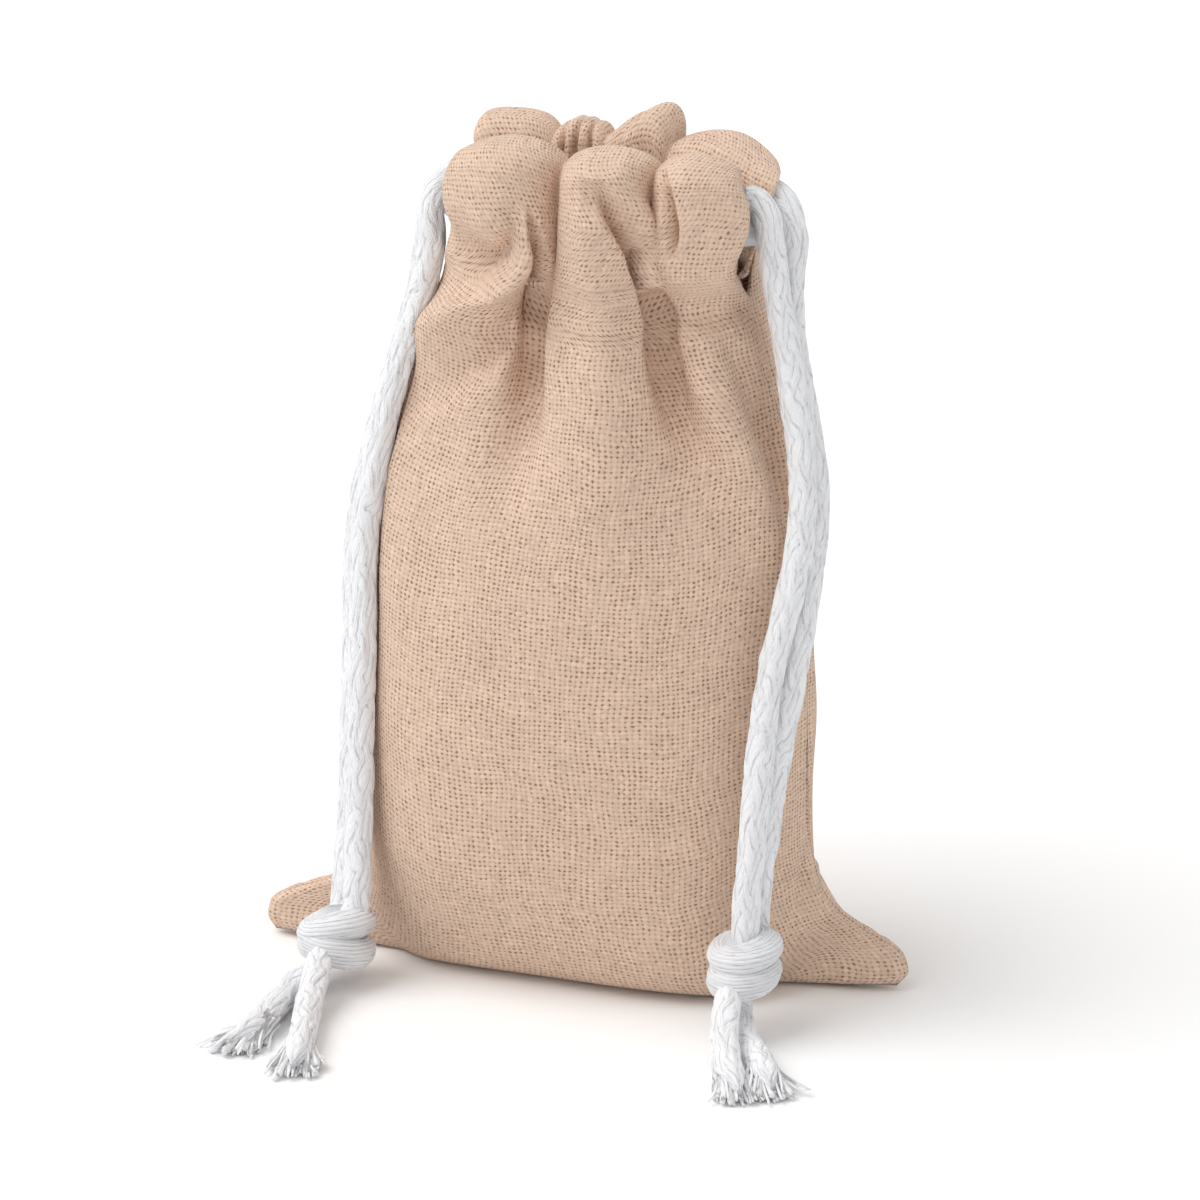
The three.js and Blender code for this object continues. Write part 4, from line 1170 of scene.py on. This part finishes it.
class BAG_OT_stage(bpy.types.Operator):
    """Camera, pale floor and soft light."""

    bl_idname = "bag.stage"
    bl_label = "Camera, Floor and Light"

    def execute(self, context):
        stage = context.scene.bag_stage
        context.scene.view_settings.view_transform = "Standard"
        self.add_camera(context, stage)
        self.add_floor(context, stage)
        self.add_light(context, stage)
        return {"FINISHED"}

    @staticmethod
    def add_camera(context, stage):
        """A camera at a distance from a point over the origin, back along an azimuth and elevation."""
        camera = bpy.data.objects.new("camera", bpy.data.cameras.new("camera"))
        context.scene.collection.objects.link(camera)
        flat = math.cos(stage.elevation)
        across, forward = math.sin(stage.azimuth) * flat, math.cos(stage.azimuth) * flat
        back = Vector((across, -forward, math.sin(stage.elevation)))
        camera.location = Vector((0, 0, stage.aim_height)) + back * stage.distance
        camera.rotation_mode = "QUATERNION"
        camera.rotation_quaternion = (-back).to_track_quat("-Z", "Y")
        camera.data.lens = stage.lens
        camera.data.shift_x, camera.data.shift_y = stage.shift
        camera.data.clip_start, camera.data.clip_end = 0.01, 50
        context.scene.camera = camera

    @staticmethod
    def add_floor(context, stage):
        """A square that the camera sees as white, and the bag as a light grey."""
        half = stage.floor_size / 2 / MM
        corners = np.array([(-1, -1, 0), (1, -1, 0), (1, 1, 0), (-1, 1, 0)]) * half
        w = Wiring("white_floor")
        camera_ray = w.add("ShaderNodeLightPath").outputs["Is Camera Ray"]
        colour = w.mix(camera_ray, (0.9, 0.9, 0.9), (1.0, 1.0, 1.0))
        white = w.finish({"Base Color": colour, "Roughness": 1.0, "Specular IOR Level": 0.0})
        floor = add_mesh("floor", corners, [np.array([[0, 1, 2, 3]])], white, "place", corners)

    @staticmethod
    def add_light(context, stage):
        """Even white from all round, and one broad sun."""
        world = bpy.data.worlds.new("even_room_light")
        world.use_nodes = True
        tree = world.node_tree
        background = tree.nodes["Background"]
        background.inputs["Color"].default_value = (1, 1, 1, 1)
        path = tree.nodes.new("ShaderNodeLightPath")
        strength = tree.nodes.new("ShaderNodeMapRange")
        strength.inputs["To Min"].default_value = stage.sky_strength
        strength.inputs["To Max"].default_value = 1.0
        tree.links.new(path.outputs["Is Camera Ray"], strength.inputs["Value"])
        tree.links.new(strength.outputs[0], background.inputs["Strength"])
        context.scene.world = world
        key = bpy.data.objects.new("key_light", bpy.data.lights.new("key_light", "SUN"))
        key.data.energy = stage.key_strength
        key.data.angle = KEY_SPREAD
        key.rotation_mode = "QUATERNION"
        key.rotation_quaternion = KEY_DIRECTION.to_track_quat("-Z", "Y")
        context.scene.collection.objects.link(key)


def into_knot(points, name, share):
    """A cord's points with one more past its end at the knot, a share of the way to the knot's middle."""
    middle = np.array(KNOTS[name.split("_")[0]]["at"])
    end = np.array(points[-1])
    return np.concatenate([points, [end + (middle - end) * share]])


class BAG_OT_free_cords(bpy.types.Operator):
    """The four free runs of drawcord, from the ends of the hem down to the knots, and the four tails."""

    bl_idname = "bag.free_cords"
    bl_label = "Free Cords"

    spacing = 0.3
    sides = 64
    run_ends_at = 0.55  # the share of the way to the knot's middle

    def execute(self, context):
        settings = context.scene.bag_cord
        radius = settings.diameter / MM / 2
        for seed, (name, points) in enumerate(FREE_RUNS.items()):
            path, along = smooth_route(into_knot(points, name, self.run_ends_at), self.spacing)
            made = tube(path, along, (0, 1, 0), radius, self.sides, braided(settings, seed + 1))
            piece = add_piece(f"cord_{name}", made, "white_cotton_cord", [f"drawcord_{name}"])
            self.declare(piece, path, along, points[0], "knot", "hanging", settings)
        for seed, (name, points) in enumerate(TAILS.items()):
            path, along = smooth_route(into_knot(points[::-1], name, 1.0)[::-1], self.spacing)
            taper = self.tail_radius(radius, along, settings.fray / MM)
            made = tube(path, along, (1, 0, 0), taper, self.sides, braided(settings, seed + 11), OFF_FLOOR)
            piece = add_piece(f"tail_{name}", made, "white_cotton_cord", [f"drawcord_{name}_tail"])
            self.declare(piece, path, along, points[0], "bare", "loose", settings)
        return {"FINISHED"}

    @staticmethod
    def tail_radius(radius, along, frayed):
        """Thinner inside the knot, full up to the frayed length, and a fifth at the end."""
        taper = radius * (1 - 0.8 * smooth_step(along[-1] - frayed, along[-1], along) ** 2)
        return taper * (0.74 + 0.26 * smooth_step(5, 10, along))

    @staticmethod
    def declare(piece, path, along, leaves, far_end, lay, settings):
        """Does nothing with the piece or its path."""


class BAG_OT_hidden_cords(bpy.types.Operator):
    """The runs of drawcord inside the hems."""

    bl_idname = "bag.hidden_cords"
    bl_label = "Cords in the Hem"

    spacing = 0.6
    sides = 32

    def execute(self, context):
        settings = context.scene.bag_cord
        radius = settings.diameter / MM / 2
        for seed, side in enumerate(("left", "right")):
            path, along = smooth_route(channel_run(side), self.spacing)
            made = tube(path, along, (0, 0, 1), radius, self.sides, braided(settings, seed + 21))
            add_piece(f"cord_in_hem_{side}", made, "white_cotton_cord", [f"drawcord_{side}_hidden"])
        return {"FINISHED"}


class BAG_OT_knots(bpy.types.Operator):
    """The two overhand knots that tie the ends of each cord together."""

    bl_idname = "bag.knots"
    bl_label = "Knots"

    spacing = 0.3
    sides = 112
    core_rings = 40
    core_share = 0.98  # of the way to its poles, where the core's end caps are
    yarns = {"wrap": 25, "core": 40}

    def execute(self, context):
        cos, sin = math.cos(KNOT_FACE), math.sin(KNOT_FACE)
        turn = np.array([[cos, sin, 0], [sin, -cos, 0], [0, 0, 1]])
        for seed, (side, knot) in enumerate(KNOTS.items()):
            parts = [self.core(knot["core"])]
            for k, points in enumerate(knot["wraps"].values()):
                path, along = smooth_route(points, self.spacing)
                surface = bundled(self.yarns["wrap"], 31 + 7 * seed + k)
                parts.append(tube(path, along, (0, 0, 1), WRAP_RADIUS, self.sides, surface))
            points, faces, values = join(parts)
            points = points @ turn + np.array(knot["at"])
            points[:, 2] = np.maximum(points[:, 2], OFF_FLOOR)
            made = points, turned_out(points, faces), values
            add_piece(f"knot_of_{side}_cord", made, "white_cotton_cord", [f"knot_{side}"])
        return {"FINISHED"}

    def core(self, half):
        """The cord inside the knot: an egg, as a tube of rings from its bottom to its top."""
        share = np.linspace(-self.core_share, self.core_share, self.core_rings)
        level = np.zeros(self.core_rings)
        path = np.stack([level, level, share * half[2]], axis=-1)
        radius = np.sqrt(1 - share**2) * (half[0] + half[1]) / 2
        return tube(path, share * half[2], (1, 0, 0), radius, self.sides, bundled(self.yarns["core"], 3))


class BAG_OT_frayed_ends(bpy.types.Operator):
    """The loose yarns at the ends of the four tails."""

    bl_idname = "bag.frayed_ends"
    bl_label = "Frayed Ends"

    # how many of each kind there are, how far from the cord's middle they start, and their radius
    kinds = {"bundle": (44, 1.3, 0.85), "strand": (120, 1.9, 0.33)}
    rings = 14
    sides = 6

    def execute(self, context):
        settings = context.scene.bag_cord
        for seed, (name, points) in enumerate(TAILS.items()):
            path, _ = smooth_route(points, 0.5)
            made = join(self.yarns(path, settings.fray / MM, seed + 51))
            add_piece(f"fray_{name}", made, "loose_cotton", [])
        return {"FINISHED"}

    def yarns(self, path, length, seed):
        """Loose threads over a few thick bundles. Each starts anywhere across the cord's end, then spreads
        and sinks to the floor."""
        rng = np.random.default_rng(seed)
        ahead = unit(path[-1] - path[-8])
        aside = unit(np.cross(ahead, [0, 0, 1]))
        up = np.cross(aside, ahead)
        share = np.linspace(0, 1, self.rings)[:, None]
        parts = []
        for reach, radius in (kind[1:] for kind in self.kinds.values() for _ in range(kind[0])):
            angle = rng.uniform(0, 2 * math.pi)
            out = rng.uniform(0.1, 1) ** 0.5
            start = path[-1] - ahead * rng.uniform(1.0, 1.4) * length
            start = start + (aside * math.cos(angle) + up * math.sin(angle)) * out * reach
            long = length * rng.uniform(0.75, 1.1) * (1 + 0.25 * math.sin(angle) * out)
            fan = math.cos(angle) * out * rng.uniform(0.15, 0.45) + rng.uniform(-0.1, 0.1)
            line = start + ahead * (long * share) + aside * (fan * long * share**1.5)
            bend = rng.uniform(-0.7, 0.7)
            line = line + aside * bend * np.sin(2 * math.pi * share * rng.uniform(0.5, 1.0)) * share
            thick = radius * (1 - 0.45 * share[:, 0])
            sink = share[:, 0] ** 1.4
            line[:, 2] = line[:, 2] * (1 - sink) + (0.3 + rng.uniform(0, 1.5) * out) * sink
            line[:, 2] = np.maximum(line[:, 2], thick + OFF_FLOOR)
            parts.append(tube(line, share[:, 0] * long, up, thick, self.sides, self.twisted, OFF_FLOOR / 2))
        return parts

    @staticmethod
    def twisted(around, along):
        """A thread's two plies, as a shallow screw of 1.3 mm a turn."""
        twist = np.sin(2 * math.pi * (around + along / 1.3))
        return 0.02 * twist, MIDDLE_OF_YARN + 0.2 * twist


class BAG_OT_cloth_panels(bpy.types.Operator):
    """The front and the back of the bag, each one sheet of cloth with its hem."""

    bl_idname = "bag.cloth_panels"
    bl_label = "Cloth Panels"

    def execute(self, context):
        thickness = context.scene.bag_cloth.thickness / MM
        reach = context.scene.bag_cord.diameter / MM / 2 + CORD_STANDS_OUT
        t = np.linspace(-1, 1, COLUMNS)
        s = self.levels()
        for side, panel in PANELS.items():
            outer, cloth = panel_surface(side, t, s)
            outer = clear_of_cords(outer, panel["sign"], reach, thickness)
            inner = outer - outward(outer, panel["sign"]) * thickness
            inner = keep_to_side(panel, inner, s[:, None])
            inner[..., 2] = np.maximum(inner[..., 2], 0)
            points, faces, flat = shell(outer, inner)
            values = np.pad(np.concatenate([cloth.reshape(-1, 2)] * 2), ((0, 0), (0, 1)))
            made = points, faces, values, flat
            piece = add_piece(
                f"{side}_cloth", made, "undyed_open_weave", [panel["node"]], "weave")
        return {"FINISHED"}

    @staticmethod
    def levels():
        """Levels up the cloth, closest in the hem."""
        spans, start = [], 0.0
        for end, step in LEVEL_STEPS:
            spans.append(np.linspace(start, end, round((end - start) / step), endpoint=False))
            start = end
        return np.concatenate([*spans, [HEM_EDGE]])


OPERATORS = (
    BAG_OT_stage,
    BAG_OT_free_cords,
    BAG_OT_hidden_cords,
    BAG_OT_knots,
    BAG_OT_frayed_ends,
    BAG_OT_cloth_panels,
)


class BAG_PT_parts(bpy.types.Panel):
    """Lists the pieces of the bag."""

    bl_idname = "BAG_PT_parts"
    bl_label = "Drawstring Bag"
    bl_space_type = "VIEW_3D"
    bl_region_type = "UI"
    bl_category = "Drawstring Bag"

    def draw(self, context):
        """A button for each operator."""
        for operator in OPERATORS:
            self.layout.operator(operator.bl_idname)


SETTINGS = {"bag_cloth": BagClothSettings, "bag_cord": BagCordSettings, "bag_stage": BagStageSettings}
CLASSES = (*SETTINGS.values(), *OPERATORS, BAG_PT_parts)


def register():
    """Registers the classes and adds their settings to the scene."""
    for cls in CLASSES:
        bpy.utils.register_class(cls)
    for name, group in SETTINGS.items():
        setattr(bpy.types.Scene, name, bpy.props.PointerProperty(type=group))


def unregister():
    """Takes the settings and the classes away again."""
    for name in SETTINGS:
        delattr(bpy.types.Scene, name)
    for cls in reversed(CLASSES):
        bpy.utils.unregister_class(cls)


def main():
    """Makes the stage and every piece."""
    register()
    bpy.ops.bag.stage()
    bpy.ops.bag.free_cords()
    bpy.ops.bag.hidden_cords()
    bpy.ops.bag.knots()
    bpy.ops.bag.frayed_ends()
    bpy.ops.bag.cloth_panels()


if __name__ == "__main__":
    main()
